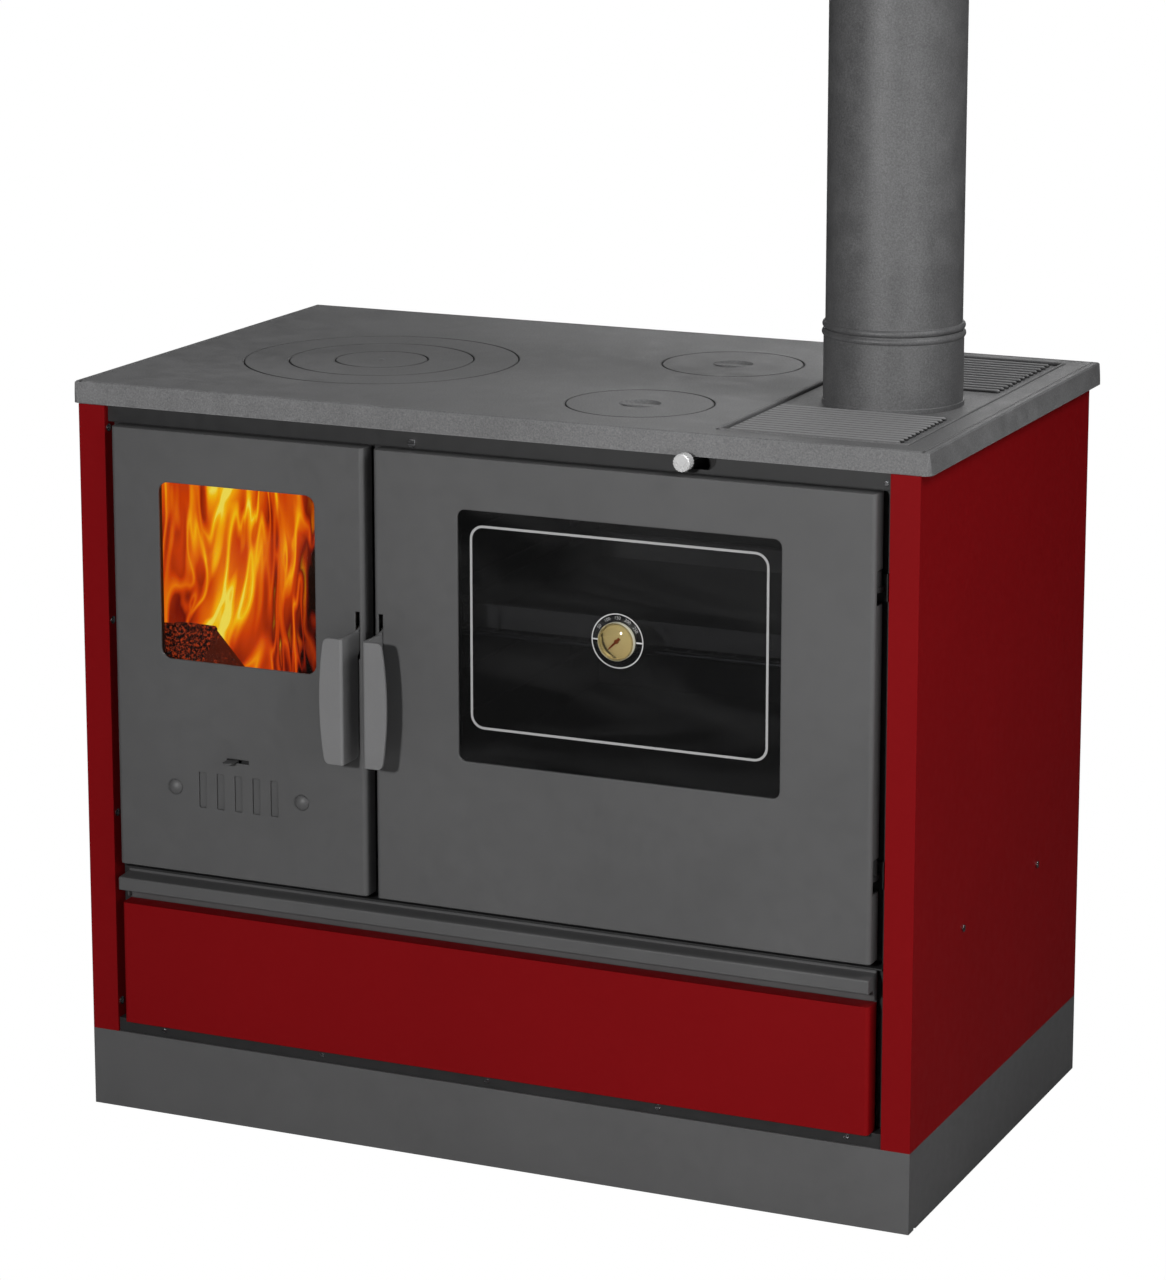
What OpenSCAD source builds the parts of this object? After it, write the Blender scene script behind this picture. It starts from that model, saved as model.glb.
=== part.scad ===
// Wood-fired range cooker: sheet steel cabinet, cast iron hob, firebox, oven and fuel drawer.
// X runs to the right along the front, Y to the back, Z up. The origin is on the floor,
// in the middle of the whole object's outline.

/* [Cabinet] */
// Width over the two side panels
body_w = 1000; // [980:5:1040]
// Depth of the side panels
body_d = 575; // [565:5:600]
// Height from the floor to the top of the hob plate
hob_h = 850; // [846:1:856]
// Height of the plinth
plinth_h = 91; // [86:1:94]
// Width of the red strip that each side panel shows at the front
strip_w = 33; // [28:1:36]
// Thickness of the cabinet's sheet steel
sheet_t = 2; // [1.5:0.5:2.5]

/* [Hob plate] */
// Height of the plate's rim
rim_h = 25; // [22:1:28]
// How far the plate stands out past each side panel
plate_side = 10; // [6:1:14]
// How far the plate's front edge stands back from the side panels' front
plate_set_back = 2; // [0:1:4]
// How far the plate stands out at the back
plate_back = 16; // [8:1:20]
// Thickness of the plate inside its rim
plate_t = 12; // [11:1:14]
// Radius of the plate's upright corners
plate_corner_r = 9; // [6:1:16]
// How far the rim leans in from its foot to its top
rim_draft = 3; // [1:0.5:4]

/* [Hob rings and lids] */
// Radius of the outer hob ring
ring_outer_r = 158; // [150:1:160]
// Radius of the middle hob ring
ring_middle_r = 106; // [100:1:110]
// Radius of the centre disc
disc_r = 53; // [48:1:58]
// Radius of the two small lids
lid_r = 81; // [76:1:84]
// Gap round each ring and lid
ring_gap = 0.9; // [0.4:0.1:1]

/* [Flue] */
// Outer radius of the stove pipe
pipe_r = 75; // [70:1:76]
// Wall of the stove pipe
pipe_wall = 2; // [1.5:0.5:3]
// Height of the stove pipe above the hob
pipe_h = 512; // [400:1:600]
// Height of the socket that the pipe stands in
collar_h = 80; // [60:1:100]
// Ribs in each ribbed field of the flue plate
rib_count = 13; // [8:1:14]

/* [Doors] */
// Height of the doors' lower edge
door_z0 = 297; // [294:1:300]
// Height of the doors' upper edge
door_z1 = 804; // [798:1:804]
// How far the doors stand in front of the side panels
door_proud = 8; // [6:1:9]
// Radius of the doors' folded upright edges
fold_r = 5; // [3:1:6]
// Width of the gap between the two doors
door_gap = 12; // [10:1:14]

/* [Drawer and damper] */
// Height of the drawer front's lower edge
drawer_z0 = 107; // [104:1:112]
// Height of the drawer front's upper edge
drawer_z1 = 250; // [240:1:250]
// Depth of the drawer's box
drawer_depth = 470; // [300:10:490]
// Radius of the damper's knob
knob_r = 9.7; // [8:0.1:10]

/* [Hidden] */
$fn = 64;
eps = 0.01;

// Cabinet planes, measured from the cabinet's front left corner on the floor
rim_z = hob_h - rim_h;
plate_y0 = plate_set_back;
plate_y1 = body_d + plate_back;
handle_reach = 42;
front_y = -door_proud - handle_reach;
centre_y = (front_y + plate_y1) / 2;
frame_y = 22;
frame_t = 3;
inside_y = frame_y + frame_t;
back_y = body_d - sheet_t;

// Doors
door_x0 = strip_w + 12;
door_x1 = body_w - strip_w - 12;
split_x = 0.367 * body_w;
fire_x1 = split_x - door_gap / 2;
oven_x0 = split_x + door_gap / 2;
door_y0 = -door_proud;
skin_depth = 22;
skin_y1 = door_y0 + skin_depth;
door_back_y = 20;

// Front openings behind the doors
stile_w = 27;
open_z0 = door_z0 + 13;
open_z1 = door_z1 - 14;
fire_open = [strip_w + stile_w, split_x - 22];
oven_open = [split_x + 33, body_w - strip_w - stile_w - 10];

// Windows, given as [left, right] and [low, high]
fire_win_x = [105, 301];
fire_win_z = [544, 746];
oven_win_x = [475, 851];
oven_win_z = [466, 747];
dial_x = 663;
dial_z = 619;
dial_r = 21;
needle_r = 1.2;

// Air control
vent_x = 200;
vent_z = 395.5;
vent_w = 9;
vent_h = 41;
vent_pitch = 22.8;
vent_travel = 12;
tab_x = 187;
tab_w = 12;
tab_slot_z = 433.7;

// Hinges and latches
pivot_in = 6;
pivot_y = 8;
hinge_z = [385, 697];
pin_r = 4;
pin_fit = 0.05;
lug_t = 6;
knuckle_h = 18;
latch_y = 4;
latch_z = 598;
latch_pin_r = 3;
handle_z0 = 457;
handle_z1 = 599;
grip_w = 28.5;
grip_t = 3;
grip_crown_r = 430;
grip_corner_r = 7;
grip_in = 6.5;
lever_t = 3.5;

// Hob openings, given as [x, y]
ring_pos = [245, 268];
lid_front_pos = [627, 136];
lid_rear_pos = [627, 405];
seat_w = 10;
seat_h = 6;
seat_gap = 0.2;

// Flue
flue_pos = [870, 272];
socket_fit = 0.05;
insert_x = [762, 974];
insert_y = [33, 562];
insert_gap = 1.5;
insert_gap_left = 4;
insert_drop = 3;
rib_field = [[46, 189], [369, 545]];
rib_r = 3;

// Inside
fire_in_x = [fire_open[0] + 6, fire_open[1] - 6];
fire_back_y = 470;
chamber_z0 = 470;
grate_t = 12;
brick_t = 28;
deck_z = rim_z - 47;
under_z = hob_h - plate_t;
liner_x = [oven_open[0] + 16, oven_open[1] - 16];
liner_z = [427, deck_z - 10];
liner_y1 = 500;
rack_z = 596;

// Damper
damper_x = 741;
damper_z = 821.2;
knob_y = -18;
rod_r = 3.2;

// ---------- shared shapes ----------

module in_place() {
    translate([-body_w / 2, -centre_y, 0]) children();
}

module block(lo, hi) {
    translate(lo) cube([hi[0] - lo[0], hi[1] - lo[1], hi[2] - lo[2]]);
}

module round_rect(w, h, r) {
    translate([r, 0]) square([w - 2 * r, h]);
    translate([0, r]) square([w, h - 2 * r]);
    for (x = [r, w - r], y = [r, h - r]) translate([x, y]) circle(r);
}

// An upright opening or pane with round corners, seen from the front
module pane(x, z, y, t, r) {
    translate([x[0], y + t, z[0]]) rotate([90, 0, 0]) linear_extrude(t)
        round_rect(x[1] - x[0], z[1] - z[0], r);
}

// A rod along X, along Y or along Z
module rod_x(p, r, l) { translate(p) rotate([0, 90, 0]) cylinder(r = r, h = l); }
module rod_y(p, r, l) { translate(p) rotate([-90, 0, 0]) cylinder(r = r, h = l); }
module rod_z(p, r, l) { translate(p) cylinder(r = r, h = l); }

// A YZ outline drawn as [y, z] points and stretched along X
module along_x(x0, l) {
    translate([x0, 0, 0]) rotate([90, 0, 90]) linear_extrude(l) children();
}

// An open tray of sheet: floor and four walls
module sheet_tray(lo, hi, t) {
    difference() {
        block(lo, hi);
        block([lo[0] + t, lo[1] + t, lo[2] + t], [hi[0] - t, hi[1] - t, hi[2] + 1]);
    }
}

// A pan-head screw that points to +Y, with a slot across its head
module screw_y(p, r, head) {
    difference() {
        union() {
            rod_y([p[0], p[1] - head, p[2]], r, head);
            rod_y([p[0], p[1] - eps, p[2]], 0.45 * r, 4);
        }
        block([p[0] - r, p[1] - head - 1, p[2] - 0.12 * r],
              [p[0] + r, p[1] - 0.5 * head, p[2] + 0.12 * r]);
    }
}

// ---------- plinth and base ----------

module plinth_front() {
    color("#4e4e50") in_place() along_x(0, body_w) union() {
        square([sheet_t, plinth_h]);
        translate([0, plinth_h - sheet_t]) square([22, sheet_t]);
        square([16, sheet_t]);
    }
}

module plinth_sides() {
    color("#363638") in_place() for (right = [0, 1])
        translate([right * body_w, 0, 0]) mirror([right, 0, 0]) union() {
            block([0, 22, 0], [sheet_t, body_d - 22, plinth_h]);
            block([0, sheet_t, sheet_t], [sheet_t, 22 + eps, plinth_h - sheet_t]);
            block([0, 22, plinth_h - sheet_t], [20, body_d - 22, plinth_h]);
        }
}

module plinth_back() {
    color("#363638") in_place() union() {
        block([0, body_d - sheet_t, 0], [body_w, body_d, plinth_h]);
        block([0, body_d - 22, plinth_h - sheet_t], [body_w, body_d, plinth_h]);
        block([0, body_d - 22, 0], [sheet_t, body_d, plinth_h]);
        block([body_w - sheet_t, body_d - 22, 0], [body_w, body_d, plinth_h]);
    }
}

module levelling_feet() {
    color("#8a8a8a") in_place()
        for (x = [70, body_w - 70], y = [60, body_d - 60]) translate([x, y, 0]) {
            cylinder(r1 = 22, r2 = 18, h = 8);
            cylinder(r = 6, h = plinth_h - sheet_t);
            translate([0, 0, plinth_h - 12]) cylinder(r = 10, h = 12 - sheet_t);
        }
}

module base_pan() {
    color("#5a5a5c") in_place() difference() {
        union() {
            block([20, 22, plinth_h - sheet_t], [body_w - 20, body_d - 22, plinth_h]);
            block([40, 30, plinth_h], [body_w - 40, 32, plinth_h + 8]);
            block([40, body_d - 40, plinth_h], [body_w - 40, body_d - 38, plinth_h + 8]);
        }
        for (i = [0:7]) translate([150 + 100 * i, body_d / 2, plinth_h - 5])
            linear_extrude(10) translate([-30, -5]) round_rect(60, 10, 4.9);
    }
}

// ---------- casing ----------

module side_panel() {
    difference() {
        union() {
            block([0, 0, plinth_h], [sheet_t, body_d, rim_z]);
            block([0, 0, plinth_h], [strip_w, sheet_t, rim_z]);
            block([strip_w - sheet_t, 0, plinth_h], [strip_w, frame_y, rim_z]);
            block([0, back_y, plinth_h], [20, body_d, rim_z]);
            block([0, 0, rim_z - sheet_t], [strip_w - sheet_t, back_y - sheet_t, rim_z]);
        }
        // holes for the two screws low on the panel and the four on its front return
        for (p = panel_screws) rod_x([-1, p[0], p[1]], 2.2, sheet_t + 2);
        for (z = return_screw_z) rod_x([strip_w - sheet_t - 1, 8, z], 2.1, sheet_t + 2);
    }
}

module side_panel_left() { color("#801214") in_place() side_panel(); }

module side_panel_right() {
    color("#801214") in_place() translate([body_w, 0, 0]) mirror([1, 0, 0]) side_panel();
}

module back_panel() {
    color("#6a6c6e") in_place() difference() {
        block([sheet_t, back_y - sheet_t, plinth_h], [body_w - sheet_t, back_y, rim_z]);
        // two rows of cooling slots, low and high
        for (i = [0:11], z = [plinth_h + 60, rim_z - 70])
            pane([106 + 66 * i, 156 + 66 * i], [z, z + 9], back_y - 10, 20, 4.4);
    }
}

module fascia() {
    slot_x = [damper_x, damper_x + 17];
    color("#343436") in_place() difference() {
        union() {
            block([strip_w, 8, door_z1 + 2], [body_w - strip_w, 8 + sheet_t, rim_z]);
            block([strip_w, 8, door_z1 + 2], [body_w - strip_w, inside_y, door_z1 + 4]);
        }
        // keyhole for the damper's rod: half round where it shows below the rim
        for (x = slot_x) rod_y([x, 0, damper_z + 0.8], 11.5, 20);
        block([slot_x[0], 0, damper_z - 10.7], [slot_x[1], 12, rim_z + 1]);
        rod_y([413.5, 0, 811.5], 2.2, 20);
        rod_y([body_w - strip_w - 7, 0, 813], 1.3, 20);
    }
}

module frame_stiles() {
    color("#2e2e30") in_place() {
        block([strip_w, frame_y, open_z0], [fire_open[0], inside_y, open_z1]);
        block([fire_open[1], frame_y, open_z0], [oven_open[0], inside_y, open_z1]);
        block([oven_open[1], frame_y, open_z0], [body_w - strip_w, inside_y, open_z1]);
        for (x = [[strip_w, strip_w + 14], [body_w - strip_w - 14, body_w - strip_w]])
            block([x[0], frame_y, plinth_h + 16], [x[1], inside_y, drawer_z1 + 2]);
    }
}

module frame_rails() {
    color("#2e2e30") in_place() {
        block([strip_w, frame_y, open_z1], [body_w - strip_w, inside_y, door_z1 + 2]);
        // the rail under the doors carries a narrow ledge that hides the gap
        block([strip_w, frame_y, drawer_z1 + 2], [body_w - strip_w, inside_y, open_z0]);
        block([strip_w + 12, 2, door_z0 - 8], [body_w - strip_w - 2, frame_y + eps, door_z0 - 6]);
    }
}

module sill_strip() {
    color("#2e2e30") in_place() difference() {
        union() {
            block([strip_w, 3, plinth_h], [body_w - strip_w, 3 + sheet_t, plinth_h + 16]);
            block([strip_w, 3, plinth_h + 14], [body_w - strip_w, inside_y, plinth_h + 16]);
        }
        for (x = sill_screw_x) rod_y([x, 0, plinth_h + 8], 1.4, 10);
    }
}

sill_screw_x = [92, 296, 502, 708, 927];
panel_screws = [[160, 295], [416, 296]];
return_screw_z = [126, 351, 577, 799];

// ---------- hob ----------

// A hole through the plate with a rebate for a ring or lid of radius r
module hob_hole(pos, r) {
    translate([pos[0], pos[1], hob_h - plate_t - 30]) cylinder(r = r - seat_w + ring_gap, h = 60, $fn = 96);
    translate([pos[0], pos[1], hob_h - seat_h]) cylinder(r = r + ring_gap, h = 20, $fn = 96);
    translate([pos[0], pos[1], hob_h - 0.8])
        cylinder(r1 = r + ring_gap, r2 = r + ring_gap + 1.6, h = 1.6, $fn = 96);
}

// Room outside a plane that leaves the rim's foot and leans in by angle a, along the front edge
module edge_cutter(z, inset, a, l) {
    translate([-20, inset, z]) rotate([-a, 0, 0]) translate([0, -30, 0]) cube([l + 40, 30, 60]);
}

// The four edge cutters round a w by d plate whose front left corner is at the origin
module four_edges(w, d, z, inset, a) {
    edge_cutter(z, inset, a, w);
    translate([0, d, 0]) mirror([0, 1, 0]) edge_cutter(z, inset, a, w);
    rotate([0, 0, 90]) mirror([0, 1, 0]) edge_cutter(z, inset, a, d);
    translate([w, 0, 0]) rotate([0, 0, 90]) edge_cutter(z, inset, a, d);
}

module hob_plate() {
    w = body_w + 2 * plate_side;
    d = plate_y1 - plate_y0;
    wall = 12;
    lip = rim_draft + 6;
    color("#5e5e60") in_place() difference() {
        translate([-plate_side, plate_y0, rim_z]) linear_extrude(rim_h)
            round_rect(w, d, plate_corner_r);
        // leaning rim and chamfered top edge
        translate([-plate_side, plate_y0, 0]) four_edges(w, d, rim_z, 0, atan(rim_draft / rim_h));
        translate([-plate_side, plate_y0, 0]) four_edges(w, d, hob_h - 1.6, rim_draft - 0.2, 45);
        // hollow underside, so that only the rim is deep
        translate([-plate_side + wall, plate_y0 + wall, rim_z - 1]) linear_extrude(rim_h - plate_t + 1)
            round_rect(w - 2 * wall, d - 2 * wall, 6);
        // fine groove that sets off the cast lip at both sides and the back
        for (x = [lip - plate_side, body_w + plate_side - lip - 1.4])
            block([x, plate_y0 + lip, hob_h - 0.9], [x + 1.4, plate_y1 - lip, hob_h + 1]);
        block([lip - plate_side, plate_y1 - lip - 1.4, hob_h - 0.9],
              [body_w + plate_side - lip, plate_y1 - lip, hob_h + 1]);
        hob_hole(ring_pos, ring_outer_r);
        hob_hole(lid_front_pos, lid_r);
        hob_hole(lid_rear_pos, lid_r);
        // opening and rebate for the flue plate
        block([insert_x[0] + 10, insert_y[0] + 10, rim_z - 1], [insert_x[1] - 10, insert_y[1] - 10, hob_h + 1]);
        block([insert_x[0] - insert_gap_left, insert_y[0] - insert_gap, hob_h - 8],
              [insert_x[1] + insert_gap, insert_y[1] + insert_gap, hob_h + 1]);
    }
}

// One round plate of the hob: a flange on the seat and a thicker middle that hangs in the hole
module hob_disc_body(r) {
    translate([0, 0, hob_h - seat_h + seat_gap]) cylinder(r = r, h = seat_h - seat_gap - 0.8, $fn = 96);
    translate([0, 0, hob_h - 0.8 - eps]) cylinder(r1 = r, r2 = r - 0.8, h = 0.8 + eps, $fn = 96);
    translate([0, 0, hob_h - plate_t + 1]) cylinder(r = r - seat_w - 0.5, h = plate_t - 2, $fn = 96);
}

module hob_ring(r, inner) {
    difference() {
        hob_disc_body(r);
        hob_hole([0, 0], inner);
    }
}

module hob_ring_outer() {
    color("#5e5e60") in_place() translate([ring_pos[0], ring_pos[1], 0])
        hob_ring(ring_outer_r, ring_middle_r);
}

module hob_ring_middle() {
    color("#5e5e60") in_place() translate([ring_pos[0], ring_pos[1], 0])
        hob_ring(ring_middle_r, disc_r);
}

module hob_disc() {
    color("#5e5e60") in_place() translate([ring_pos[0], ring_pos[1], 0]) difference() {
        hob_disc_body(disc_r);
        translate([0, 0, hob_h - 5]) cylinder(r = 3, h = 10);
    }
}

// A lid with the sunk lifting grip: an oval pocket crossed by a bar
module lid(pos) {
    in_place() translate([pos[0], pos[1], 0]) difference() {
        hob_disc_body(lid_r);
        difference() {
            translate([0, 0, hob_h - 7]) cylinder(r1 = 15, r2 = 23.5, h = 7 + eps, $fn = 64);
            translate([-30, -4, hob_h - 9]) cube([60, 8, 8]);
        }
    }
}

module front_lid() { color("#5e5e60") lid(lid_front_pos); }

module rear_lid() { color("#5e5e60") lid(lid_rear_pos); }

// ---------- flue ----------

module flue_plate() {
    top = hob_h - insert_drop;
    x0 = insert_x[0] + 10;
    l = insert_x[1] - 16 - x0;
    color("#5a5a5c") in_place() difference() {
        union() {
            block([insert_x[0], insert_y[0], hob_h - 8 + seat_gap], [insert_x[1], insert_y[1], top]);
            block([insert_x[0] + 11, insert_y[0] + 11, hob_h - 13], [insert_x[1] - 11, insert_y[1] - 11, top - 1]);
            for (field = rib_field) {
                pitch = (field[1] - field[0]) / (rib_count - 1);
                for (i = [0:rib_count - 1]) translate([x0, field[0] + pitch * i, top + 1]) {
                    rod_x([0, 0, 0], rib_r, l);
                    for (x = [0, l]) translate([x, 0, 0]) sphere(rib_r, $fn = 24);
                }
            }
            // thicker seat under the socket
            translate([flue_pos[0], flue_pos[1], hob_h - 13]) cylinder(r = pipe_r + 12, h = 9, $fn = 96);
        }
        translate([flue_pos[0], flue_pos[1], hob_h - 20]) cylinder(r = pipe_r - 7, h = 40, $fn = 96);
    }
}

module flue_collar() {
    foot = hob_h - insert_drop;
    top = collar_h + insert_drop;
    color("#6e6e70") in_place() translate([flue_pos[0], flue_pos[1], foot]) difference() {
        union() {
            cylinder(r = pipe_r + 1.7, h = top, $fn = 96);
            cylinder(r = pipe_r + 3, h = 5, $fn = 96);
            // rolled lip at the mouth of the socket
            translate([0, 0, top - 4.5]) rotate_extrude($fn = 96)
                translate([pipe_r - 0.3, 0]) circle(4, $fn = 24);
        }
        translate([0, 0, -1]) cylinder(r = pipe_r - 5, h = top + 2, $fn = 96);
        translate([0, 0, 12 + insert_drop]) cylinder(r = pipe_r + socket_fit, h = top, $fn = 96);
    }
}

module flue_pipe() {
    z0 = hob_h + 12;
    color("#77787a") in_place() translate([flue_pos[0], flue_pos[1], 0]) difference() {
        union() {
            translate([0, 0, z0]) cylinder(r = pipe_r, h = hob_h + pipe_h - z0, $fn = 96);
            // rolled bead that stops the pipe in its socket
            translate([0, 0, hob_h + collar_h + 4.2]) rotate_extrude($fn = 96)
                translate([pipe_r - 0.6, 0]) circle(3.8, $fn = 24);
        }
        translate([0, 0, z0 - 5]) cylinder(r = pipe_r - pipe_wall, h = pipe_h + 20, $fn = 96);
    }
}

// ---------- firebox ----------

module firebox_shell() {
    wall = 4;
    lo = [fire_open[0], inside_y, open_z0];
    hi = [fire_open[1], fire_back_y, under_z];
    color("#3a3a3c") in_place() difference() {
        block(lo, hi);
        // fire chamber, open to the hob
        block([lo[0] + wall, lo[1] + wall, chamber_z0], [hi[0] - wall, hi[1] - wall, under_z + 1]);
        // ash room below the grate
        block([lo[0] + wall, lo[1] - 1, lo[2] + wall], [hi[0] - wall, hi[1] - wall, chamber_z0 - 6]);
        // throat through the floor, under the grate
        block([lo[0] + 34, lo[1] + 34, chamber_z0 - 10], [hi[0] - 34, hi[1] - 34, chamber_z0 + 1]);
        // mouth behind the door
        block([lo[0] + 12, lo[1] - 1, chamber_z0 + 20], [hi[0] - 12, lo[1] + wall + 1, open_z1 - 10]);
        // the wall beside the oven stops short, so that the smoke passes over the oven
        block([hi[0] - wall - 1, lo[1] + wall, deck_z], [hi[0] + 1, hi[1] - wall, under_z + 1]);
    }
}

module firebrick_sides() {
    x0 = fire_open[0] + 4;
    x1 = fire_open[1] - 4;
    color("#c8b48c") in_place() for (right = [0, 1], i = [0:2]) {
        y0 = inside_y + 10 + i * 133;
        x = right == 0 ? x0 : x1 - brick_t;
        difference() {
            block([x, y0, chamber_z0], [x + brick_t, y0 + 132, chamber_z0 + 262]);
            // chamfered upper edge towards the fire
            translate([right == 0 ? x + brick_t : x, y0 - 1, chamber_z0 + 262]) rotate([0, 45, 0])
                translate([-6, 0, -6]) cube([12, 140, 12]);
        }
    }
}

module firebrick_back() {
    color("#c8b48c") in_place() for (i = [0:1]) {
        x0 = fire_open[0] + 4 + brick_t + 1;
        x1 = fire_open[1] - 4 - brick_t - 1;
        w = (x1 - x0 - 1) / 2;
        block([x0 + i * (w + 1), fire_back_y - 4 - brick_t, chamber_z0],
              [x0 + i * (w + 1) + w, fire_back_y - 5, chamber_z0 + 262]);
    }
}

module fire_grate() {
    x0 = fire_open[0] + 4 + brick_t + 2;
    x1 = fire_open[1] - 4 - brick_t - 2;
    y0 = inside_y + 14;
    y1 = fire_back_y - 4 - brick_t - 2;
    bars = 13;
    pitch = (x1 - x0 - 16) / bars;
    color("#2c2c2e") in_place() difference() {
        block([x0, y0, chamber_z0], [x1, y1, chamber_z0 + grate_t]);
        for (i = [0:bars - 1], row = [0, 1]) {
            l = (y1 - y0 - 36) / 2;
            translate([x0 + 8 + pitch * (i + 0.5) - 3.5, y0 + 12 + row * (l + 12), chamber_z0 - 5])
                linear_extrude(30) round_rect(7, l, 3.4);
        }
    }
}

module log_bar() {
    y = inside_y + 4.5;
    color("#2c2c2e") in_place() {
        for (x = [fire_open[0] + 40, fire_open[1] - 46]) block([x, y, chamber_z0], [x + 6, y + 6, chamber_z0 + 56]);
        for (z = [28, 48]) block([fire_open[0] + 14, y + 0.5, chamber_z0 + z], [fire_open[1] - 14, y + 5, chamber_z0 + z + 8]);
    }
}

module ash_pan() {
    lo = [fire_open[0] + 24, inside_y + 8, open_z0 + 5];
    hi = [fire_open[1] - 24, fire_back_y - 40, open_z0 + 85];
    color("#6a6c6e") in_place() {
        difference() {
            sheet_tray(lo, hi, 1.5);
            for (x = [-30, 30]) rod_y([(lo[0] + hi[0]) / 2 + x, lo[1] - 5, hi[2] - 26], 3, 20);
        }
        // wire bail on the front
        mid = (lo[0] + hi[0]) / 2;
        for (x = [-30, 30]) rod_y([mid + x, lo[1] - 7, hi[2] - 26], 2.9, 10);
        rod_x([mid - 33, lo[1] - 6, hi[2] - 26], 2.9, 66);
    }
}

// ---------- oven and smoke path ----------

module smoke_deck() {
    x0 = fire_open[1];
    x1 = body_w - 32;
    color("#3a3a3c") in_place() difference() {
        union() {
            block([x0, inside_y + 6, deck_z - 3], [x1, back_y - 17, deck_z]);
            block([x0, inside_y + 6, deck_z - 3], [x1, inside_y + 9, under_z]);
            block([x0, back_y - 20, deck_z - 3], [x1, back_y - 17, under_z]);
            block([x1 - 3, inside_y + 6, deck_z - 3], [x1, back_y - 17, under_z]);
            // two fins that guide the damper's plate under the flue
            for (x = [damper_x - 5, body_w - 55])
                block([x, 120, deck_z - 1], [x + 2, 372, damper_z - 1.8]);
        }
        rod_y([damper_x, 0, damper_z], rod_r + pin_fit, 60);
        // way down to the smoke room beside the oven
        block([body_w - 60, 120, deck_z - 10], [body_w - 36, 480, deck_z + 1]);
    }
}

module oven_liner() {
    t = 2;
    color("#2b2c30") in_place() difference() {
        union() {
            block([oven_open[0], frame_y, open_z0], [oven_open[1], inside_y, open_z1]);
            block([liner_x[0], frame_y, liner_z[0]], [liner_x[1], liner_y1, liner_z[1]]);
        }
        block([liner_x[0] + t, frame_y - 1, liner_z[0] + t], [liner_x[1] - t, liner_y1 - t, liner_z[1] - t]);
        // holes that carry the ladder racks
        for (z = [500, 706], y = [90, 400], x = [liner_x[0] - 1, liner_x[1] - 3])
            rod_x([x, y, z], 2.5, 4);
    }
}

// Ladder racks on the oven's two side walls: two uprights and four rails each
module oven_runners() {
    color("#a8a8aa") in_place() for (right = [0, 1])
        translate([right * (liner_x[0] + liner_x[1]), 0, 0]) mirror([right, 0, 0]) {
            x = liner_x[0] + 8;
            for (y = [90, 400]) rod_z([x, y, 470], 3, 250);
            for (z = [485, 538, 590, 642, 694]) rod_y([x + 2, 40, z], 2.5, 430);
            for (y = [90, 400], z = [500, 706]) rod_x([liner_x[0], y, z], 2.45, 8);
        }
}

module oven_rack() {
    x0 = liner_x[0] + 16;
    x1 = liner_x[1] - 16;
    y0 = 50;
    y1 = 462;
    wires = 17;
    color("#a8a8aa") in_place() {
        for (y = [y0, y1]) rod_x([liner_x[0] + 7, y, rack_z], 3.5, liner_x[1] - liner_x[0] - 14);
        for (x = [x0 + 3, x1 - 3]) rod_y([x, y0, rack_z], 3.5, y1 - y0);
        for (i = [1:wires]) rod_y([x0 + (x1 - x0) * i / (wires + 1), y0, rack_z], 2, y1 - y0);
    }
}

module baking_tray() {
    lo = [liner_x[0] + 30, 66, rack_z + 3.5];
    hi = [liner_x[1] - 30, 440, rack_z + 32];
    color("#3c3c40") in_place() {
        sheet_tray(lo, hi, 1.5);
        difference() {
            block([lo[0] - 10, lo[1] - 10, hi[2] - 1.5], [hi[0] + 10, hi[1] + 10, hi[2]]);
            block([lo[0] + 1, lo[1] + 1, hi[2] - 5], [hi[0] - 1, hi[1] - 1, hi[2] + 5]);
        }
    }
}

// ---------- fixed fittings ----------

// Angle rails that the fuel drawer's flanges slide on
module drawer_rails() {
    color("#8a8a8a") in_place() for (right = [0, 1])
        translate([right * body_w, 0, 0]) mirror([right, 0, 0]) {
            block([44, inside_y, 190], [60, back_y - sheet_t, 192.5]);
            block([44, inside_y, 190], [46.5, back_y - sheet_t, 225]);
        }
}

// Fixed hinge halves: a tongue from the frame with an upright pin
module hinge_lugs() {
    color("#2e2e30") in_place()
        for (right = [0, 1], z = hinge_z) translate([right * body_w, 0, z]) mirror([right, 0, 0]) {
            x = door_x0 + pivot_in;
            translate([x, pivot_y, 0]) cylinder(r = 6.5, h = lug_t);
            block([x - 6.5, pivot_y, 0], [x + 6.5, frame_y, lug_t]);
            translate([x, pivot_y, lug_t - 1]) cylinder(r = pin_r, h = knuckle_h);
            block([x - 10, frame_y - 3, -12], [x + 10, frame_y, lug_t + 12]);
        }
}

// Strikers on the centre stile, one below each latch nose
module latch_keepers() {
    color("#8a8a8a") in_place()
        for (right = [0, 1]) translate([split_x, 0, 0]) mirror([right, 0, 0]) {
            block([-22, frame_y - 2, latch_z - 34], [-6, frame_y, latch_z - 8]);
            block([-16, frame_y - 8, latch_z - 10], [-9, frame_y, latch_z - 8]);
        }
}

module case_screws() {
    color("#b8b8ba") in_place() {
        for (x = sill_screw_x) screw_y([x, 3, plinth_h + 8], 3, 1.5);
        screw_y([413.5, 8, 811.5], 4.6, 2.4);
        screw_y([body_w - strip_w - 7, 8, 813], 2.6, 1.3);
        // screws in the side panels and in their front returns
        for (right = [0, 1]) translate([right * body_w, 0, 0]) mirror([right, 0, 0]) {
            for (p = panel_screws) translate([0, p[0], p[1]]) rotate([0, 0, -90]) screw_y([0, 0, 0], 4, 2);
            for (z = return_screw_z) translate([strip_w, 8, z]) rotate([0, 0, 90]) screw_y([0, 0, 0], 4.4, 0.6);
        }
    }
}

// ---------- door parts used twice ----------

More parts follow.
